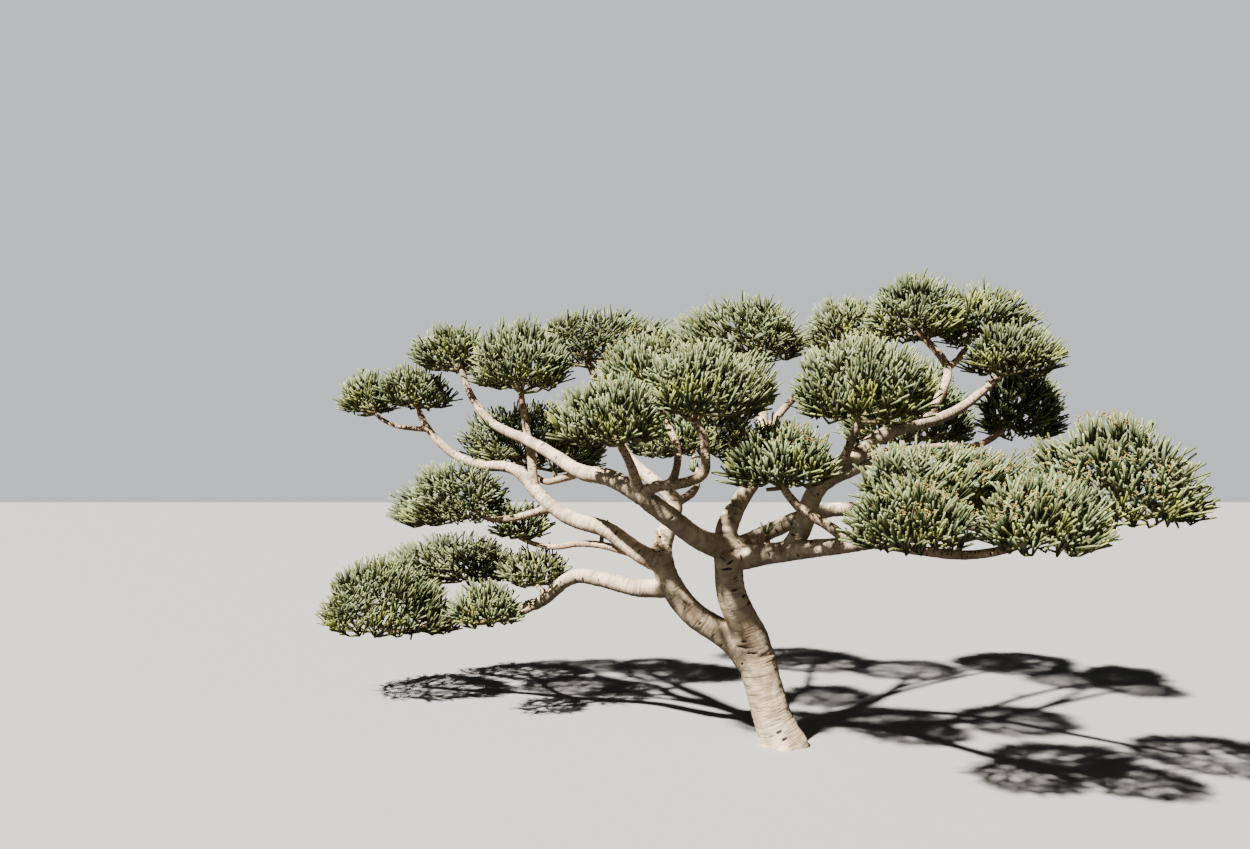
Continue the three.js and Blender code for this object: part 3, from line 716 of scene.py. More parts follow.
def bark_material(colours, groups):
    """Pale bark with warm patches, streaks, cross wrinkles, lens scars and dark flecks on the thin limbs.

    Painted shade darkens the undersides towards red-brown, and the wrinkles' grooves and the creases.
    """
    material, tree, shader = new_material("pale_bark", 0.82)
    place = attribute(tree, "limb_place").outputs["Vector"]
    scar = attribute(tree, "scar").outputs["Fac"]
    radius = attribute(tree, "limb_radius").outputs["Fac"]
    colour = patchy(tree, groups, colours.bark_pale, colours.bark_warm, 0.75)

    # Painted shade and painted red ground bounce: the underside is darker and redder
    normal = tree.nodes.new("ShaderNodeNewGeometry").outputs["Normal"]
    split = tree.nodes.new("ShaderNodeSeparateXYZ")
    tree.links.new(normal, split.inputs["Vector"])
    under = ranged(tree, split.outputs["Z"], 0.1, -0.9, 0, 0.62)
    colour = mixed(tree, under, colour, tuple(colours.bark_painted_shade))

    # Orange-brown streaks run along the limbs
    streak = placed_noise(tree, stretched(tree, place, (22, 22, 3.2)), 1, 3)
    stained = calculated(tree, "MAXIMUM", ranged(tree, streak, 0.57, 0.74, 0, 0.5),
                         ranged(tree, radius, 0.022, 0.04, 0.45, 0))
    stain = attribute(tree, "stain").outputs["Fac"]
    stained = calculated(tree, "MAXIMUM", stained, calculated(tree, "MULTIPLY", stain, 0.6))
    colour = mixed(tree, stained, colour, tuple(colours.bark_streak))

    wrinkles = group_node(tree, groups["wrinkles"])
    tree.links.new(place, wrinkles.inputs["Limb place"])
    # Painted shade: the wrinkles' grooves are darkened towards the painted underside colour
    lines = calculated(tree, "MULTIPLY", wrinkles.outputs["Lines"], 0.42)
    colour = mixed(tree, lines, colour, tuple(colours.bark_painted_shade))

    # Dark flecks left by fallen fingers, closest together on the thin limbs
    fleck = tree.nodes.new("ShaderNodeTexVoronoi")
    tree.links.new(stretched(tree, place, (36, 36, 62)), fleck.inputs["Vector"])
    fleck.inputs["Scale"].default_value = 1
    fleck.inputs["Randomness"].default_value = 0.85
    thin = ranged(tree, radius, 0.032, 0.06, 0.9, 0.0)
    flecks = calculated(tree, "MULTIPLY", ranged(tree, fleck.outputs["Distance"], 0.24, 0.33, 1, 0), thin)
    # The scar attribute also holds the creases' painted shade
    marks = calculated(tree, "MAXIMUM", flecks, ranged(tree, scar, 0.12, 0.5))
    colour = mixed(tree, marks, colour, tuple(colours.bark_scar_and_crease_shade))
    tree.links.new(colour, shader.inputs["Base Color"])

    height = calculated(tree, "SUBTRACT", wrinkles.outputs["Height"], marks)
    tree.links.new(bump(tree, height, 0.8, 0.004), shader.inputs["Normal"])
    return material


def stem_material(name, colour, groups, shaded_foot_share):
    """Waxy, faintly mottled skin of stems, with painted shade that darkens each stem towards its foot.
    shaded_foot_share is what is left of its brightness at a stem's foot.
    """
    material, tree, shader = new_material(name, 0.55)
    shader.inputs["Specular IOR Level"].default_value = 0.3
    skin = patchy(tree, groups, colour, darker(colour, 0.8), 0.6)
    # Painted shade: darker at the foot, where the stems shade one another, and paler at the tip
    old = ranged(tree, attribute(tree, "rise").outputs["Fac"], 0.25, 1, 0.92, 0)
    tree.links.new(mixed(tree, old, skin, darker(colour, shaded_foot_share)), shader.inputs["Base Color"])
    pores = placed_noise(tree, object_place(tree), 420, 2)
    tree.links.new(bump(tree, pores, 0.12, 0.001), shader.inputs["Normal"])
    return material


def flat_material(name, colour, roughness):
    """Small matt parts: blossom, growing tips."""
    material, tree, shader = new_material(name, roughness)
    speck = ranged(tree, placed_noise(tree, object_place(tree), 160, 2), 0.4, 0.65, 0, 0.8)
    tree.links.new(mixed(tree, speck, tuple(colour), darker(colour, 0.6)), shader.inputs["Base Color"])
    return material


def shared_groups():
    made = {g.name: g for g in bpy.data.node_groups}
    return {
        "mottle": made.get("soft_patches") or mottle_group(),
        "wrinkles": made.get("cross_wrinkles") or wrinkle_group(),
    }


BARK_SEED = 11
BARK_TRIANGLES = 196000
SMOOTH_TURNS = 4
# Lumps, ripples and folds of the bark: their pace across and along a limb, and their share of the relief
RELIEF_WAVES = ((9, 7, 1.6), (14, 62, 0.9), (11, 30, 1.2))
# Limbs thinner than this have a lower relief
FULL_RELIEF_RADIUS = 0.05
# Parts one limb's patterns from the next one's
LIMB_OFFSET = 3.7


def finished_mesh(name, shape):
    """A bmesh written to a new mesh and freed."""
    mesh = bpy.data.meshes.new(name)
    shape.to_mesh(mesh)
    shape.free()
    return mesh


def with_modifier(mesh, kind, **settings):
    """A mesh as a modifier leaves it."""
    piece = placed("work", mesh)
    modifier = piece.modifiers.new("work", kind)
    for key, value in settings.items():
        setattr(modifier, key, value)
    graph = bpy.context.evaluated_depsgraph_get()
    made = bpy.data.meshes.new_from_object(piece.evaluated_get(graph))
    bpy.data.objects.remove(piece)
    return made


def positions(mesh):
    flat = np.zeros(len(mesh.vertices) * 3, np.float32)
    mesh.vertices.foreach_get("co", flat)
    return flat.reshape(-1, 3).astype(float)


def relieved(mesh, field, scars, relief):
    """Raises the lumps, wrinkles and scars of the bark on a fine mesh."""
    places = positions(mesh)
    normals = np.zeros(len(places) * 3, np.float32)
    mesh.vertices.foreach_get("normal", normals)
    normals = normals.reshape(-1, 3)
    numbers, local, radii = field.places([Vector(p) for p in places])
    lift = np.zeros(len(places))
    for i, (x, y, z) in enumerate(local):
        far = LIMB_OFFSET * numbers[i]
        height = 0
        for across, along, share in RELIEF_WAVES:
            height += share * noise.noise(Vector((x * across, y * across, z * along + far)))
        lift[i] = height * min(1, radii[i] / FULL_RELIEF_RADIUS)
    lift *= relief
    lift -= SCAR_DEPTH * scar_field(numbers, local, radii, scars)
    lift -= CREASE_DEPTH * crease_field(places)
    lift += BRAID_HEIGHT * braid_field(numbers, local, field.names)
    mesh.vertices.foreach_set("co", (places + normals * lift[:, None]).astype(np.float32).ravel())
    mesh.update()


def limb_tubes():
    """A closed tube for the trunk and for every limb, in one mesh."""
    shape = bmesh.new()
    for name, limb in limbs.items():
        if name == "trunk":
            add_tube(shape, trunk_rings(), buttress)
        else:
            add_tube(shape, limb_rings(limb))
    bmesh.ops.recalc_face_normals(shape, faces=shape.faces[:])
    return finished_mesh("tubes", shape)


def cut_flat(skin):
    """The skin above ground level, closed by the flat cut."""
    shape = bmesh.new()
    shape.from_mesh(skin)
    geometry = shape.verts[:] + shape.edges[:] + shape.faces[:]
    cut = bmesh.ops.bisect_plane(
        shape, geom=geometry, plane_co=(0, 0, 0), plane_no=(0, 0, 1), clear_inner=True)
    edges = [g for g in cut["geom_cut"] if isinstance(g, bmesh.types.BMEdge)]
    bmesh.ops.holes_fill(shape, edges=edges, sides=0)
    for face in shape.faces:
        face.smooth = True
    for edge in edges:
        edge.smooth = False
    bmesh.ops.triangulate(shape, faces=shape.faces[:])
    return finished_mesh("trunk_and_boughs", shape)


class SPURGE_OT_bark(bpy.types.Operator):
    """One skin over the trunk, the boughs and their snags, with lumps, cross wrinkles and scars"""

    bl_idname = "spurge.bark"
    bl_label = "Bark"

    def execute(self, context):
        sizes = context.scene.spurge_sizes
        names = list(limbs)
        grain = sizes.bark_grain
        skin = with_modifier(limb_tubes(), "REMESH", mode="VOXEL", voxel_size=grain, use_smooth_shade=True)
        skin = with_modifier(skin, "SMOOTH", factor=0.5, iterations=SMOOTH_TURNS)
        field = LimbField(names)
        scars = scar_list(names, np.random.default_rng(BARK_SEED))
        relieved(skin, field, scars, sizes.bark_relief)
        triangles = 2 * len(skin.polygons)
        if triangles > BARK_TRIANGLES:
            skin = with_modifier(skin, "DECIMATE", ratio=BARK_TRIANGLES / triangles)
        mesh = cut_flat(skin)

        places = [v.co.copy() for v in mesh.vertices]
        numbers, local, radii = field.places(places)
        spots = np.array([p[:] for p in places])
        mask = np.clip(scar_field(numbers, local, radii, scars), 0, 1)
        # Painted shade: the creases take the scars' dark colour
        mask = np.maximum(mask, CREASE_PAINTED_SHADE * crease_field(spots))
        local[:, 2] += LIMB_OFFSET * numbers
        add_attribute(mesh, "limb_place", "FLOAT_VECTOR", "vector", local)
        add_attribute(mesh, "limb_radius", "FLOAT", "value", radii)
        add_attribute(mesh, "scar", "FLOAT", "value", mask)
        add_attribute(mesh, "stain", "FLOAT", "value", stain_field(spots))
        material = bark_material(context.scene.spurge_colours, shared_groups())
        piece = object_of("trunk_and_boughs", mesh, material)
        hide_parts("trunk", *[f"{limb['name']}_bough" for limb in LIMBS])
        return {"FINISHED"}


def add_attribute(mesh, name, kind, part, values):
    layer = mesh.attributes.new(name, kind, "POINT")
    layer.data.foreach_set(part, np.asarray(values, np.float32).ravel())


def mass_spaces():
    """Each mass's own space: an egg-shaped body, and the levels that part it from its neighbours."""
    spaces = []
    for name, size, shift, sink in MASSES:
        limb = CARRIED_BY.get(name, name)
        points = limbs[limb]["points"]
        tip = points[-1]
        width, depth, height = (s * MM for s in size)
        foot = tip.z - sink * MM
        x = tip.x + shift[0] * MM
        y = tip.y + shift[1] * MM
        spaces.append({
            "name": name,
            "limb": limb,
            "tip": tip,
            "way": (points[-1] - points[-2]).normalized(),
            "middle": Vector((x, y, foot + WIDEST_SHARE * height)),
            "heart": Vector((x, y, foot + HEART_SHARE * height)),
            "half": (width / 2, depth / 2, (1 - WIDEST_SHARE) * height),
            "under": WIDEST_SHARE * height,
            "levels": [],
        })
    for space in spaces:
        for other in spaces:
            way = other["middle"] - space["middle"]
            apart = way.length
            if other is space:
                continue
            way = way / apart
            mine = half_thickness(space, way)
            theirs = half_thickness(other, -way)
            if mine + theirs + 2 * CELL_MARGIN * MM < apart:
                continue
            share = apart * mine / (mine + theirs) - CELL_MARGIN * MM
            space["levels"].append((np.array(way), way.dot(space["middle"]) + share))
    return spaces


def half_thickness(space, way):
    upright = space["half"][2] if way.z > 0 else space["under"]
    return math.hypot(way.x * space["half"][0], way.y * space["half"][1], way.z * upright)


def reach_of(space, ways):
    """How far the space goes from its heart along each direction, and how far it would without neighbours."""
    heart = np.array(space["heart"])
    start = heart - np.array(space["middle"])

    def leaving(upright):
        scale = 1 / np.array([space["half"][0], space["half"][1], upright])
        p = start * scale
        d = ways * scale
        a = (d * d).sum(1)
        b = d @ p
        return (-b + np.sqrt(np.maximum(0, b * b - a * (p @ p - 1)))) / a

    reach = leaving(space["half"][2])
    low = start[2] + reach * ways[:, 2] < 0
    reach = np.where(low, leaving(space["under"]), reach)
    full = reach
    for way, level in space["levels"]:
        speed = ways @ way
        room = (level - way @ heart) / np.maximum(speed, 1e-6)
        reach = np.where(speed > 1e-6, np.minimum(reach, room), reach)
    return reach, full


def unit(ways):
    return ways / np.linalg.norm(ways, axis=1, keepdims=True)


def spread_ways(count, phase, lowest):
    """Directions spread evenly from straight up to just below level, on a spiral."""
    share = (np.arange(count) + 0.5) / count
    height = 1 - share * (1 - math.sin(lowest))
    level = np.sqrt(1 - height ** 2)
    turn = np.radians(phase + np.arange(count) * GOLDEN_ANGLE)
    return np.stack([level * np.cos(turn), level * np.sin(turn), height], 1)


def dome_area(space):
    x, y, z = space["half"]
    mean = ((x * y) ** AREA_POWER + (x * z) ** AREA_POWER + (y * z) ** AREA_POWER) / 3
    return 2 * math.pi * mean ** (1 / AREA_POWER)


# A stem ends steeper than its chord by a share of what is left to upright, and starts lower by a part of it
UPTURN = 0.46
DROOP = 0.5


def sweep_bends(hub, ends):
    """Where the stems from a hub to their ends turn. Each leaves lower than its end and finishes steeper."""
    away = ends - hub
    level = np.linalg.norm(away[:, :2], axis=1)
    whole = np.linalg.norm(away, axis=1)
    climb = np.arctan2(away[:, 2], level)
    upturn = (math.pi / 2 - climb) * UPTURN + 1e-3
    droop = upturn * DROOP
    run = whole * np.sin(upturn) / np.sin(upturn + droop)
    side = away[:, :2] / np.maximum(level, 1e-6)[:, None]
    flat = side * (run * np.cos(climb - droop))[:, None]
    return hub + np.column_stack([flat, run * np.sin(climb - droop)])


def sweep(hub, bends, ends, share):
    """Where the stems from a hub to their ends are at a share of their way."""
    return (1 - share) ** 2 * hub + 2 * share * (1 - share) * bends + share ** 2 * ends


def template_of(shape):
    """A bmesh's corners and faces, to be copied many times."""
    shape.verts.index_update()
    corners = np.array([v.co[:] for v in shape.verts])
    faces = [[v.index for v in f.verts] for f in shape.faces]
    shape.free()
    return corners, faces


def stick_template(sides, shares, pointed):
    """A stick's corners and faces, one long and one in radius, with rings at the shares of its length.

    pointed is where its point begins, or 0 for a flat end.
    """
    shape = bmesh.new()
    bmesh.ops.create_cone(shape, cap_ends=True, cap_tris=False, segments=sides, radius1=1, radius2=1, depth=1)
    bmesh.ops.translate(shape, verts=shape.verts[:], vec=(0, 0, 0.5))
    for share in shares:
        geometry = shape.verts[:] + shape.edges[:] + shape.faces[:]
        bmesh.ops.bisect_plane(shape, geom=geometry, plane_co=(0, 0, share), plane_no=(0, 0, 1))
    if pointed:
        top = [f for f in shape.faces if f.normal.z > 0.9]
        bmesh.ops.poke(shape, faces=top)
        # The ring under the point moves down, so that the point stands clear of it
        for v in shape.verts:
            on_rim = v.co.z > 0.999 and v.co.xy.length > 0.5
            v.co.z = pointed if on_rim else v.co.z
    return template_of(shape)


# How far to either side a stick's direction is read, as a share of its length
WAY_STEP = 0.03


def bent_sticks(template, centre_at, radius_at, count):
    """Corners of many sticks at once. centre_at gives the middle points at a share, radius_at the radii."""
    corners, _ = template
    made = np.zeros((count, len(corners), 3))
    chord = unit(centre_at(1.0) - centre_at(0.0))
    helper = np.where(np.abs(chord[:, 2:3]) < 0.8, np.array([[0.0, 0, 1]]), np.array([[1.0, 0, 0]]))
    side = np.cross(chord, helper)
    for share in np.unique(corners[:, 2].round(5)):
        centre = centre_at(share)
        way = unit(centre_at(min(1, share + WAY_STEP)) - centre_at(max(0, share - WAY_STEP)))
        across = unit(side - way * (side * way).sum(1, keepdims=True))
        other = np.cross(way, across)
        radius = radius_at(share)[:, None]
        for k in np.nonzero(np.abs(corners[:, 2] - share) < 1e-4)[0]:
            x, y = corners[k, :2]
            made[:, k] = centre + radius * (x * across + y * other)
    return made


def joined_mesh(name, parts):
    """One mesh of many copies. parts holds pairs of a template and the copies' corners.

    The attribute rise is 0 at a stick's foot and 1 at its tip.
    """
    all_corners = []
    rises = []
    loops = []
    starts = []
    corner_count = 0
    loop_count = 0
    for (template, faces), copies in parts:
        if not len(copies):
            continue
        rises.append(np.tile(np.clip(template[:, 2], 0, 1), len(copies)))
        flat = np.array([i for f in faces for i in f])
        sizes = np.array([len(f) for f in faces])
        first = np.concatenate([[0], np.cumsum(sizes)[:-1]])
        number = np.arange(len(copies))[:, None]
        loops.append((flat + corner_count + number * copies.shape[1]).ravel())
        starts.append((first + loop_count + number * len(flat)).ravel())
        all_corners.append(copies.reshape(-1, 3))
        corner_count += copies.shape[0] * copies.shape[1]
        loop_count += len(copies) * len(flat)
    mesh = bpy.data.meshes.new(name)
    corners = np.concatenate(all_corners).astype(np.float32)
    loops = np.concatenate(loops).astype(np.int32)
    starts = np.concatenate(starts).astype(np.int32)
    mesh.vertices.add(len(corners))
    mesh.vertices.foreach_set("co", corners.ravel())
    mesh.loops.add(len(loops))
    mesh.loops.foreach_set("vertex_index", loops)
    mesh.polygons.add(len(starts))
    mesh.polygons.foreach_set("loop_start", starts)
    mesh.polygons.foreach_set("use_smooth", np.ones(len(starts), bool))
    mesh.update(calc_edges=True)
    mesh.validate()
    add_attribute(mesh, "rise", "FLOAT", "value", np.concatenate(rises))
    return mesh


# A mass grows row by row from its hub, this far beyond its limb's tip: stems in the first row, the least
# number of rows, the row that begins its fans, the rows in a spray, and those of them with side fingers
HUB_RISE = 0.02
FIRST_STEMS = 6
LEAST_ROWS = 4
FAN_ROW = 1
SPRAY_ROWS = 3
SIDE_FINGER_ROWS = 2
# A row's directions: the turn from one row to the next in degrees, their scatter as a share of their
# spacing, and how much they are drawn to the direction that carries them
LEVEL_TURN = 77
JITTER = 0.3
GATHER = 0.14
# The most of a stem's way that is its finger, and how long its other parts are beside one another
MOST_FINGER_SHARE = 0.42
FIRST_PART = 1.25
PART_SHRINK = 0.08
# Stems that a neighbour shortens past this share are left out
SHORTEST_SHARE = 0.5
# What a stem keeps free to a limb that passes by
CLEARANCE = 0.002
# Powers of the curve with which a stem leaves its fork, and of the taper from row to row
FORK_CURL = 1.2
TAPER_POWER = 0.7
FORK_OVERLAP = 0.04
# How uneven the dome is: by fan, by spray, over one fan with its most, and by finger
FAN_LEVELS = (0.92, 1.04)
SPRAY_LEVELS = (0.92, 1)
SCALLOP = 0.65
DEEPEST_SCALLOP = 0.4
SHORT_FINGERS = 0.15
# A finger's thickness at its foot and near its tip as shares of its own, where its point begins, and how
# fingers differ
FINGER_WAIST = 0.88
FINGER_TIP = 0.84
FINGER_RIM = 0.96
FINGER_VARIETY = (0.88, 1.12)
# Side fingers: where they leave a stem, how far they lean off it and up, their lengths as shares of a whole
# finger's, and their curl in metres
SIDE_FINGER_AT = 0.45
SIDE_FINGER_LEAN = 0.3
SIDE_FINGER_RISE = 0.1
SIDE_FINGER_LENGTHS = (0.5, 0.8)
SIDE_FINGER_CURL = 0.014
# Blossom: how many for each tip, from the first number to below the second, their scatter and their radii
BLOSSOMS = (4, 8)
BLOSSOM_SCATTER = 0.0062
BLOSSOM_RADII = (0.003, 0.0048)
# A growing tip's radii, and how far it and the blossom stand beyond a finger's end
GROWING_TIP = (0.0034, 0.0034, 0.007)
TIP_LIFT = 0.001
# Small shoots: their stem's radius and length, and their fingers' lean in degrees, lengths, start inside the
# stem and curl
SHOOT_RADIUS = 0.013
SHOOT_LENGTH = 0.05
SHOOT_LEAN = (14, 46)
SHOOT_FINGERS = (0.07, 0.12)
SHOOT_SINK = 0.012
SHOOT_CURL = 0.018
SHOOT_SEED = 900
NEAR_LIMBS = 0.25
OWN_END = 0.85


def obstacle_points(space):
    """Middle points and radii of the limbs that pass near a mass, without its own bough's end."""
    centre = np.array(space["middle"])
    reach = max(space["half"]) + NEAR_LIMBS
    found = []
    for name, limb in limbs.items():
        path = smooth_path(limb["points"], RING_STEP)
        for i, point in enumerate(path):
            share = i / (len(path) - 1)
            if name == space["limb"] and share > OWN_END:
                continue
            if np.abs(np.array(point) - centre).max() < reach:
                found.append((*point, between(limb["thick"], share) / 2 * MM))
    return np.array(found) if found else np.zeros((0, 4))


def clear_of(obstacles, points, room):
    """Which of the points keep their room to every limb."""
    free = np.ones(len(points), bool)
    for x, y, z, radius in obstacles:
        gap = np.linalg.norm(points - np.array([x, y, z]), axis=1) - radius
        free &= gap > room
    return free


class Crown:
    """Collects the stems of all masses by kind."""

    def __init__(self, sizes):
        self.sizes = sizes
        self.finger = stick_template(5, (), FINGER_RIM)
        self.twig = stick_template(4, (), 0)
        self.stem = stick_template(6, (0.5,), 0)
        self.fingers = {kind: [] for kind in FINGER_KINDS}
        self.green_twigs = []
        self.woody_twigs = []
        self.blossom = []
        self.growing_tips = []

    def deal(self, copies, alive, kinds):
        """Puts each finger with those of its kind."""
        for i, kind in enumerate(FINGER_KINDS):
            self.fingers[kind].append(copies[alive & (kinds == i)])

    def grow(self, space, number):
        """Grows one mass: stems that fork again and again from the bough's tip to the dome."""
        sizes = self.sizes
        random = np.random.default_rng(number + 1)
        density = sizes.fingers_per_area * 1
        total = dome_area(space) * density
        forks = math.log(total / FIRST_STEMS) / math.log(sizes.fork_count)
        depth = max(LEAST_ROWS, round(forks) + 1)
        ratio = (total / FIRST_STEMS) ** (1 / (depth - 1))
        hub = np.array(space["tip"] + space["way"] * HUB_RISE)
        heart = np.array(space["heart"])
        obstacles = obstacle_points(space)
        phase = random.uniform(0, 360)

        counts = [round(FIRST_STEMS * ratio ** k) for k in range(depth)]
        spreads = []
        ways = []
        parents = [None]
        for k, count in enumerate(counts):
            spread = spread_ways(count, phase + LEVEL_TURN * k, sizes.lowest_angle)
            spacing = math.sqrt(2 * math.pi / count)
            spread = spread + random.normal(0, JITTER * spacing, spread.shape)
            spread[:, 2] = np.maximum(spread[:, 2], math.sin(sizes.lowest_angle))
            spread = unit(spread)
            spreads.append(spread)
            # Evenly spaced over the dome, and drawn together towards the stem that carries them
            way = unit(spread * np.array(space["half"]))
            if k:
                parents.append(np.argmax(spread @ spreads[k - 1].T, axis=1))
                if FAN_ROW < k < depth - 1:
                    way = unit(way + GATHER * (ways[k - 1][parents[k]] - way))
            ways.append(way)
        reach, _ = reach_of(space, ways[-1])
        mean_way = np.linalg.norm(heart + ways[-1] * reach[:, None] - hub, axis=1).mean()
        finger_share = min(MOST_FINGER_SHARE, sizes.finger_length / mean_way)
        spray_row = depth - SPRAY_ROWS
        # The parts between two forks get shorter towards the tip
        steps = np.array([FIRST_PART] + [1 - PART_SHRINK * k for k in range(1, depth - 1)])
        shares = np.append(np.cumsum(steps) / steps.sum() * (1 - finger_share), 1)

        place = np.repeat(hub[None], counts[0], 0)
        alive = np.ones(counts[0], bool)
        level = np.ones(counts[0])
        kinds = None
        flowering = None
        fan_way = None
        for k in range(depth):
            start = place
            if k:
                handed_on = (place, alive, level, kinds, flowering, fan_way)
                start, alive, level, kinds, flowering, fan_way = [
                    None if values is None else values[parents[k]] for values in handed_on]
            if k == FAN_ROW:
                level = level * random.uniform(*FAN_LEVELS, counts[k])
                fan_way = ways[k]
            if k == spray_row:
                level = level * random.uniform(*SPRAY_LEVELS, counts[k])
                kinds = self.dealt_kinds(ways[k], random)
                flowering = random.random(counts[k]) < IN_FLOWER.get(space["name"], 0)
                flowering = flowering & (ways[k][:, 2] > FLOWERING_ABOVE)
            last = k == depth - 1
            own = level
            if last:
                # Each fan's own top is a low dome, and a few fingers are short
                spacing = math.sqrt(2 * math.pi / counts[FAN_ROW])
                off = np.linalg.norm(ways[k] - fan_way, axis=1) / spacing
                own = own * (1 - SCALLOP * np.minimum(DEEPEST_SCALLOP, off * off))
                own = own * (1 - SHORT_FINGERS * random.random(counts[k]) ** 2)
            reach, full = reach_of(space, ways[k])
            if k >= spray_row:
                alive = alive & (reach > SHORTEST_SHARE * full)
            ends = heart + ways[k] * (reach * own)[:, None]
            bends = sweep_bends(hub, ends)
            share0 = shares[k - 1] if k else 0.0
            share1 = shares[k]
            offset = start - sweep(hub, bends, ends, share0)

            def centre_at(u, ends=ends, bends=bends, offset=offset, share0=share0, share1=share1):
                along = share0 + (share1 - share0) * u
                return sweep(hub, bends, ends, along) + offset * max(0, 1 - u) ** FORK_CURL

            place = centre_at(1.0)
            radius = self.radius_at_level(k, depth)
            if k > 1:
                alive = alive & clear_of(obstacles, centre_at(0.5), radius + CLEARANCE)
                alive = alive & clear_of(obstacles, place, radius + CLEARANCE)
            self.add_level(k, depth, centre_at, alive, kinds, radius, random)
            if depth - 1 - SIDE_FINGER_ROWS <= k < depth - 1 and kinds is not None:
                self.add_side_fingers(centre_at, alive, kinds, obstacles, random)
            if last:
                self.dress_tips(centre_at, alive, flowering, random)

    def dealt_kinds(self, ways, random):
        """A kind of finger for each spray: more of the yellow-green ones low down."""
        high = random.choice(len(FINGER_KINDS), len(ways), p=KIND_WEIGHTS_HIGH)
        low = random.choice(len(FINGER_KINDS), len(ways), p=KIND_WEIGHTS_LOW)
        return np.where(ways[:, 2] < LOW_SPRAYS, low, high)

    def radius_at_level(self, k, depth):
        thin = self.sizes.finger_thickness / 2
        thick = self.sizes.hub_thickness / 2
        share = k / max(1, depth - 1)
        return thick + (thin - thick) * share ** TAPER_POWER

    def add_level(self, k, depth, centre_at, alive, kinds, radius, random):
        count = len(alive)
        last = k == depth - 1
        next_radius = self.radius_at_level(min(k + 1, depth - 1), depth)
        if last:
            spread = random.uniform(*FINGER_VARIETY, count)

            def radius_at(u):
                base = FINGER_WAIST + (1 - FINGER_WAIST) * min(1, 3 * u)
                return radius * spread * (base if u < 0.9 else FINGER_TIP)

            self.deal(bent_sticks(self.finger, centre_at, radius_at, count), alive, kinds)
            return

        def twig_radius(u):
            return np.full(count, radius + (next_radius - radius) * u)

        def lapped(u):
            """Each stem runs a little into the fork at either end."""
            return centre_at(-FORK_OVERLAP + (1 + 2 * FORK_OVERLAP) * u)

        template = self.stem if k < 2 else self.twig
        copies = bent_sticks(template, lapped, twig_radius, count)[alive]
        (self.green_twigs if k else self.woody_twigs).append((template, copies))

    def add_side_fingers(self, centre_at, alive, kinds, obstacles, random):
        """Shorter fingers that leave the last stems under their forks."""
        count = len(alive)
        start = centre_at(SIDE_FINGER_AT)
        way = unit(centre_at(1.0) - start)
        way = way + random.normal(0, SIDE_FINGER_LEAN, way.shape)
        way = unit(np.column_stack([way[:, :2], np.maximum(way[:, 2], 0) + SIDE_FINGER_RISE]))
        length = self.sizes.finger_length * random.uniform(*SIDE_FINGER_LENGTHS, count)[:, None]
        rise = np.array([0, 0, SIDE_FINGER_CURL])
        thin = self.sizes.finger_thickness / 2

        def finger_at(u):
            return start + way * length * u + rise * u * u

        alive = alive & clear_of(obstacles, finger_at(1.0), thin + CLEARANCE)
        self.deal(bent_sticks(self.finger, finger_at, lambda u: np.full(count, thin), count), alive, kinds)

    def dress_tips(self, centre_at, alive, flowering, random):
        """Blossom on the tips of the sprays in flower, and dark growing points on a few others."""
        tips = centre_at(1.0)
        lean = unit(tips - centre_at(0.9))
        draw = random.random(len(tips))
        chosen = alive & flowering & (draw < BLOSSOMED_TIPS)
        for tip, way in zip(tips[chosen], lean[chosen]):
            for _ in range(random.integers(*BLOSSOMS)):
                off = random.normal(0, 1, 3) * BLOSSOM_SCATTER
                self.blossom.append((tip + way * TIP_LIFT + off, random.uniform(*BLOSSOM_RADII)))
        budding = alive & ~flowering & (draw > BUDLESS_TIPS)
        for tip, way in zip(tips[budding], lean[budding]):
            self.growing_tips.append((tip + way * TIP_LIFT, way))

    def shoot(self, limb_name, at, bearing, rise, count, number):
        """A small shoot of a few fingers straight off a limb."""
        random = np.random.default_rng(SHOOT_SEED + number)
        limb = limbs[limb_name]
        base = between(limb["points"], at)
        way = heading(bearing, rise)
        radius = between(limb["thick"], at) / 2 * MM
        foot = np.array(base + way * (radius * 0.8))
        neck = np.array(base + way * (radius + SHOOT_LENGTH))

        def stem_at(u):
            return (foot + (neck - foot) * u)[None]

        def stem_radius(u):
            return np.array([SHOOT_RADIUS * (1.25 - 0.25 * u)])

        self.woody_twigs.append((self.stem, bent_sticks(self.stem, stem_at, stem_radius, 1)))
        turn = np.radians(random.uniform(0, 360) + np.arange(count) * 360 / count)
        tilt = np.radians(random.uniform(*SHOOT_LEAN, count))
        side = np.array(way.orthogonal())
        other = np.cross(np.array(way), side)
        out = side * np.cos(turn)[:, None] + other * np.sin(turn)[:, None]
        aim = np.array(way) * np.cos(tilt)[:, None] + out * np.sin(tilt)[:, None]
        length = random.uniform(*SHOOT_FINGERS, count)[:, None]
        start = np.repeat(neck[None], count, 0) - aim * SHOOT_SINK

        def finger_at(u):
            return start + aim * length * u + np.array([[0, 0, SHOOT_CURL]]) * u * u

        thin = self.sizes.finger_thickness / 2
        fingers = bent_sticks(self.finger, finger_at, lambda u: np.full(count, thin * (u < 0.99)), count)
        self.fingers["celadon" if number % 2 else "sage"].append(fingers)


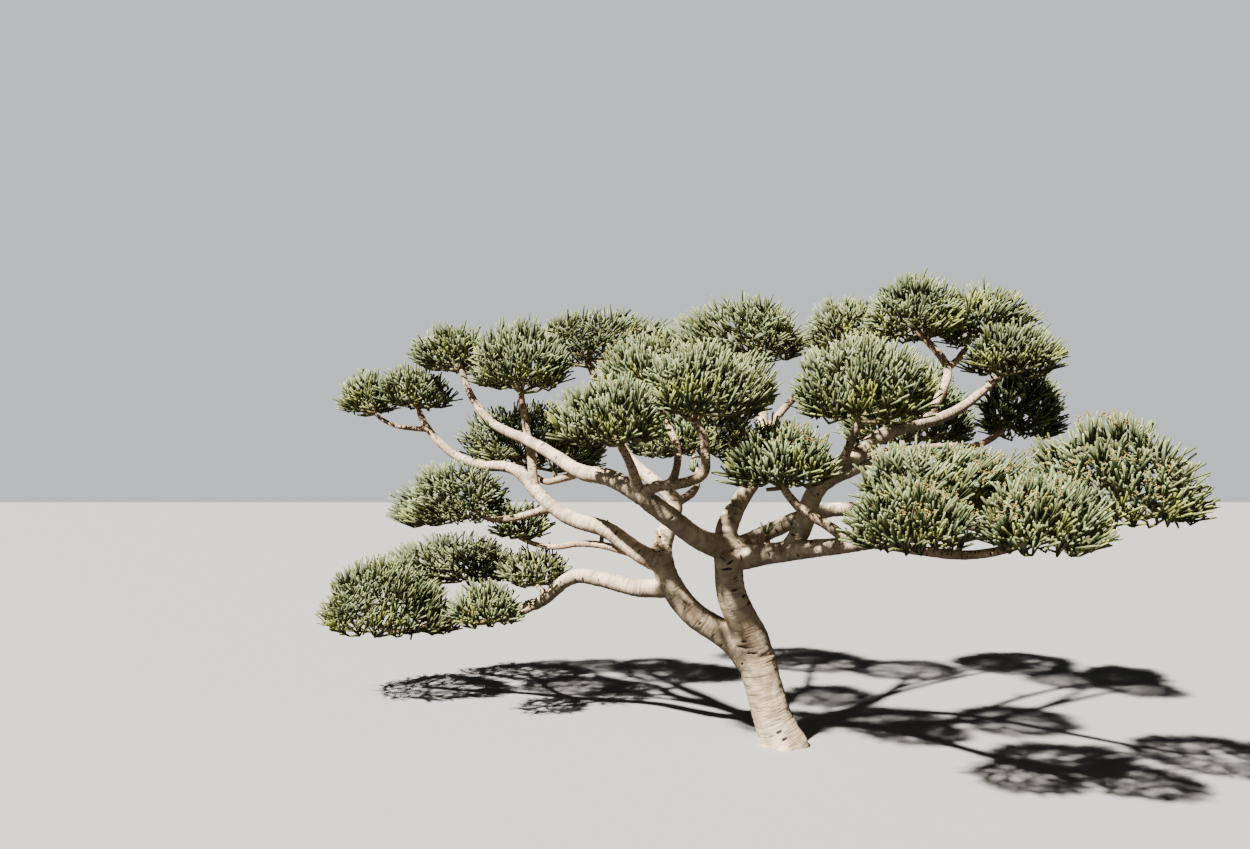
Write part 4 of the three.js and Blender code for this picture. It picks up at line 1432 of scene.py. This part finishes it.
class SPURGE_OT_crown(bpy.types.Operator):
    """Twigs, finger stems, blossom and growing tips of every mass, joined by kind"""

    bl_idname = "spurge.crown"
    bl_label = "Crown"

    def execute(self, context):
        sizes = context.scene.spurge_sizes
        colours = context.scene.spurge_colours
        groups = shared_groups()
        crown = Crown(sizes)
        spaces = mass_spaces()
        for number, space in enumerate(spaces):
            crown.grow(space, number)
        for number, (limb, at, bearing, rise, count) in enumerate(SHOOTS):
            crown.shoot(limb, at, bearing, rise, count, number)
        nodes = [f"{space['name']}_fingers" for space in spaces]

        rows = [(f"fingers_{kind}", [(crown.finger, np.concatenate(crown.fingers[kind]))], kind, FINGER_SHADED_FOOT)
                for kind in FINGER_KINDS]
        rows.append(("green_twigs", crown.green_twigs, "green_twig", TWIG_SHADED_FOOT))
        rows.append(("woody_twigs", crown.woody_twigs, "woody_twig", TWIG_SHADED_FOOT))
        for name, parts, colour, shaded_foot_share in rows:
            material = stem_material(colour, getattr(colours, colour), groups, shaded_foot_share)
            piece = object_of(name, joined_mesh(name, parts), material)
            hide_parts(*nodes)
        self.dress(crown, colours)
        return {"FINISHED"}

    def dress(self, crown, colours):
        """The blossom in two colours, and the growing tips."""
        shape = bmesh.new()
        bmesh.ops.create_icosphere(shape, subdivisions=1, radius=1)
        ball = template_of(shape)
        corners = ball[0]
        kinds = (("blossom", colours.blossom), ("pale_blossom", colours.blossom_yellow))
        for i, (name, colour) in enumerate(kinds):
            copies = np.array([place + corners * size for place, size in crown.blossom[i::2]])
            mesh = joined_mesh(name, [(ball, copies)])
            object_of(name, mesh, flat_material(name, colour, 0.7))
        tips = []
        stretch = np.array(Matrix.Diagonal(GROWING_TIP))
        for place, way in crown.growing_tips:
            turn = np.array(Vector(way).to_track_quat("Z", "Y").to_matrix())
            tips.append(place + corners @ (turn @ stretch).T)
        mesh = joined_mesh("growing_tips", [(ball, np.array(tips))])
        material = flat_material("growing_tip", colours.growing_tip, 0.6)
        object_of("growing_tips", mesh, material)


# The camera stands at a standing adult's eye height, in millimetres of the tree's frame
EYE = (-970, -5650, 1620)
SENSOR = 36
# The view in pixels: its size, the row of its horizon, and the distance from which its width is seen
VIEW_WIDTH = 1250
VIEW_HEIGHT = 849
HORIZON_ROW = 480
FOCUS = 900
LOOK_UP = math.atan2(HORIZON_ROW - VIEW_HEIGHT / 2, FOCUS)

# The key light stands in front and to the left, in degrees above level and left of the view
SUN_CLIMB = 52
SUN_TURN = 50
SUN_ENERGY = 28
# How wide the sun looks, in degrees
SUN_WIDTH = 2
SUN_COLOUR = (1, 0.98, 0.93)
# A weak fill light in front and to the right: its place, its aim and the width of its disk in metres
FILL_PLACE = (4.5, -6, 3.5)
FILL_AIM = (-0.3, 0.2, 1.6)
FILL_SIZE = 5
FILL_POWER = 10
FILL_COLOUR = (0.95, 0.97, 1)
# The backdrop's colour, and its strength where the camera sees it and where it lights the tree
SKY_COLOUR = (0.9, 0.92, 0.95, 1)
BACKDROP_STRENGTH = 0.8
AMBIENT_STRENGTH = 0.06
# How much of the floor's light reaches the tree
FLOOR_BOUNCE = 0.1
FLOOR_HALF_SIZE = 60


def new_light(name, kind, energy, colour, way):
    """A light that shines along a direction."""
    lamp = bpy.data.lights.new(name, kind)
    lamp.energy = energy
    lamp.color = colour
    holder = placed(name, lamp)
    holder.rotation_euler = way.to_track_quat("-Z", "Y").to_euler()
    return holder


class SPURGE_OT_stage(bpy.types.Operator):
    """A plain pale floor, soft studio light and the camera"""

    bl_idname = "spurge.stage"
    bl_label = "Stage"

    def execute(self, context):
        shape = bmesh.new()
        bmesh.ops.create_grid(shape, x_segments=1, y_segments=1, size=FLOOR_HALF_SIZE)
        mesh = finished_mesh("floor", shape)
        floor = placed("floor", mesh)
        material, tree, shader = new_material("plain_floor", 0.9)
        pale = tuple(context.scene.spurge_colours.floor)
        seen = tree.nodes.new("ShaderNodeLightPath").outputs["Is Camera Ray"]
        tree.links.new(mixed(tree, seen, darker(pale, FLOOR_BOUNCE), pale), shader.inputs["Base Color"])
        mesh.materials.append(material)
        self.light(context)

        lens = bpy.data.cameras.new("view")
        lens.sensor_width = SENSOR
        lens.lens = FOCUS * SENSOR / VIEW_WIDTH
        lens.clip_end = 200
        camera = placed("view", lens)
        camera.location = [c * MM for c in EYE]
        camera.rotation_euler = (math.pi / 2 + LOOK_UP, 0, 0)
        context.scene.camera = camera
        return {"FINISHED"}

    def light(self, context):
        """A pale backdrop that lights the tree little, the key light and a weak fill."""
        world = bpy.data.worlds.new("studio")
        world.use_nodes = True
        tree = world.node_tree
        background = tree.nodes["Background"]
        background.inputs["Color"].default_value = SKY_COLOUR
        seen = tree.nodes.new("ShaderNodeLightPath").outputs["Is Camera Ray"]
        strength = ranged(tree, seen, 0, 1, AMBIENT_STRENGTH, BACKDROP_STRENGTH)
        tree.links.new(strength, background.inputs["Strength"])
        context.scene.world = world

        climb = math.radians(SUN_CLIMB)
        turn = math.radians(SUN_TURN)
        ray = Vector((math.cos(climb) * math.sin(turn), math.cos(climb) * math.cos(turn), -math.sin(climb)))
        key = new_light("key", "SUN", SUN_ENERGY, SUN_COLOUR, ray)
        key.data.angle = math.radians(SUN_WIDTH)
        aim = Vector(FILL_AIM) - Vector(FILL_PLACE)
        fill = new_light("fill", "AREA", FILL_POWER, FILL_COLOUR, aim)
        fill.data.shape = "DISK"
        fill.data.size = FILL_SIZE
        fill.location = FILL_PLACE


class SPURGE_PT_panel(bpy.types.Panel):
    """Sizes, colours and the parts of the tree"""

    bl_idname = "SPURGE_PT_panel"
    bl_label = "Tree Spurge"
    bl_space_type = "VIEW_3D"
    bl_region_type = "UI"
    bl_category = "Tree Spurge"

    def draw(self, context):
        column = self.layout.column()
        for group in (context.scene.spurge_sizes, context.scene.spurge_colours):
            for key in group.bl_rna.properties.keys():
                if key not in ("rna_type", "name"):
                    column.prop(group, key)
        for operator in OPERATORS:
            column.operator(operator.bl_idname)


OPERATORS = (SPURGE_OT_stage, SPURGE_OT_bark, SPURGE_OT_crown)
CLASSES = (SpurgeSizes, SpurgeColours, *OPERATORS, SPURGE_PT_panel)


def register():
    for cls in CLASSES:
        bpy.utils.register_class(cls)
    bpy.types.Scene.spurge_sizes = bpy.props.PointerProperty(type=SpurgeSizes)
    bpy.types.Scene.spurge_colours = bpy.props.PointerProperty(type=SpurgeColours)


def unregister():
    del bpy.types.Scene.spurge_colours
    del bpy.types.Scene.spurge_sizes
    for cls in reversed(CLASSES):
        bpy.utils.unregister_class(cls)


def main():
    register()
    bpy.ops.spurge.stage()
    bpy.ops.spurge.bark()
    bpy.ops.spurge.crown()


if __name__ == "__main__":
    main()
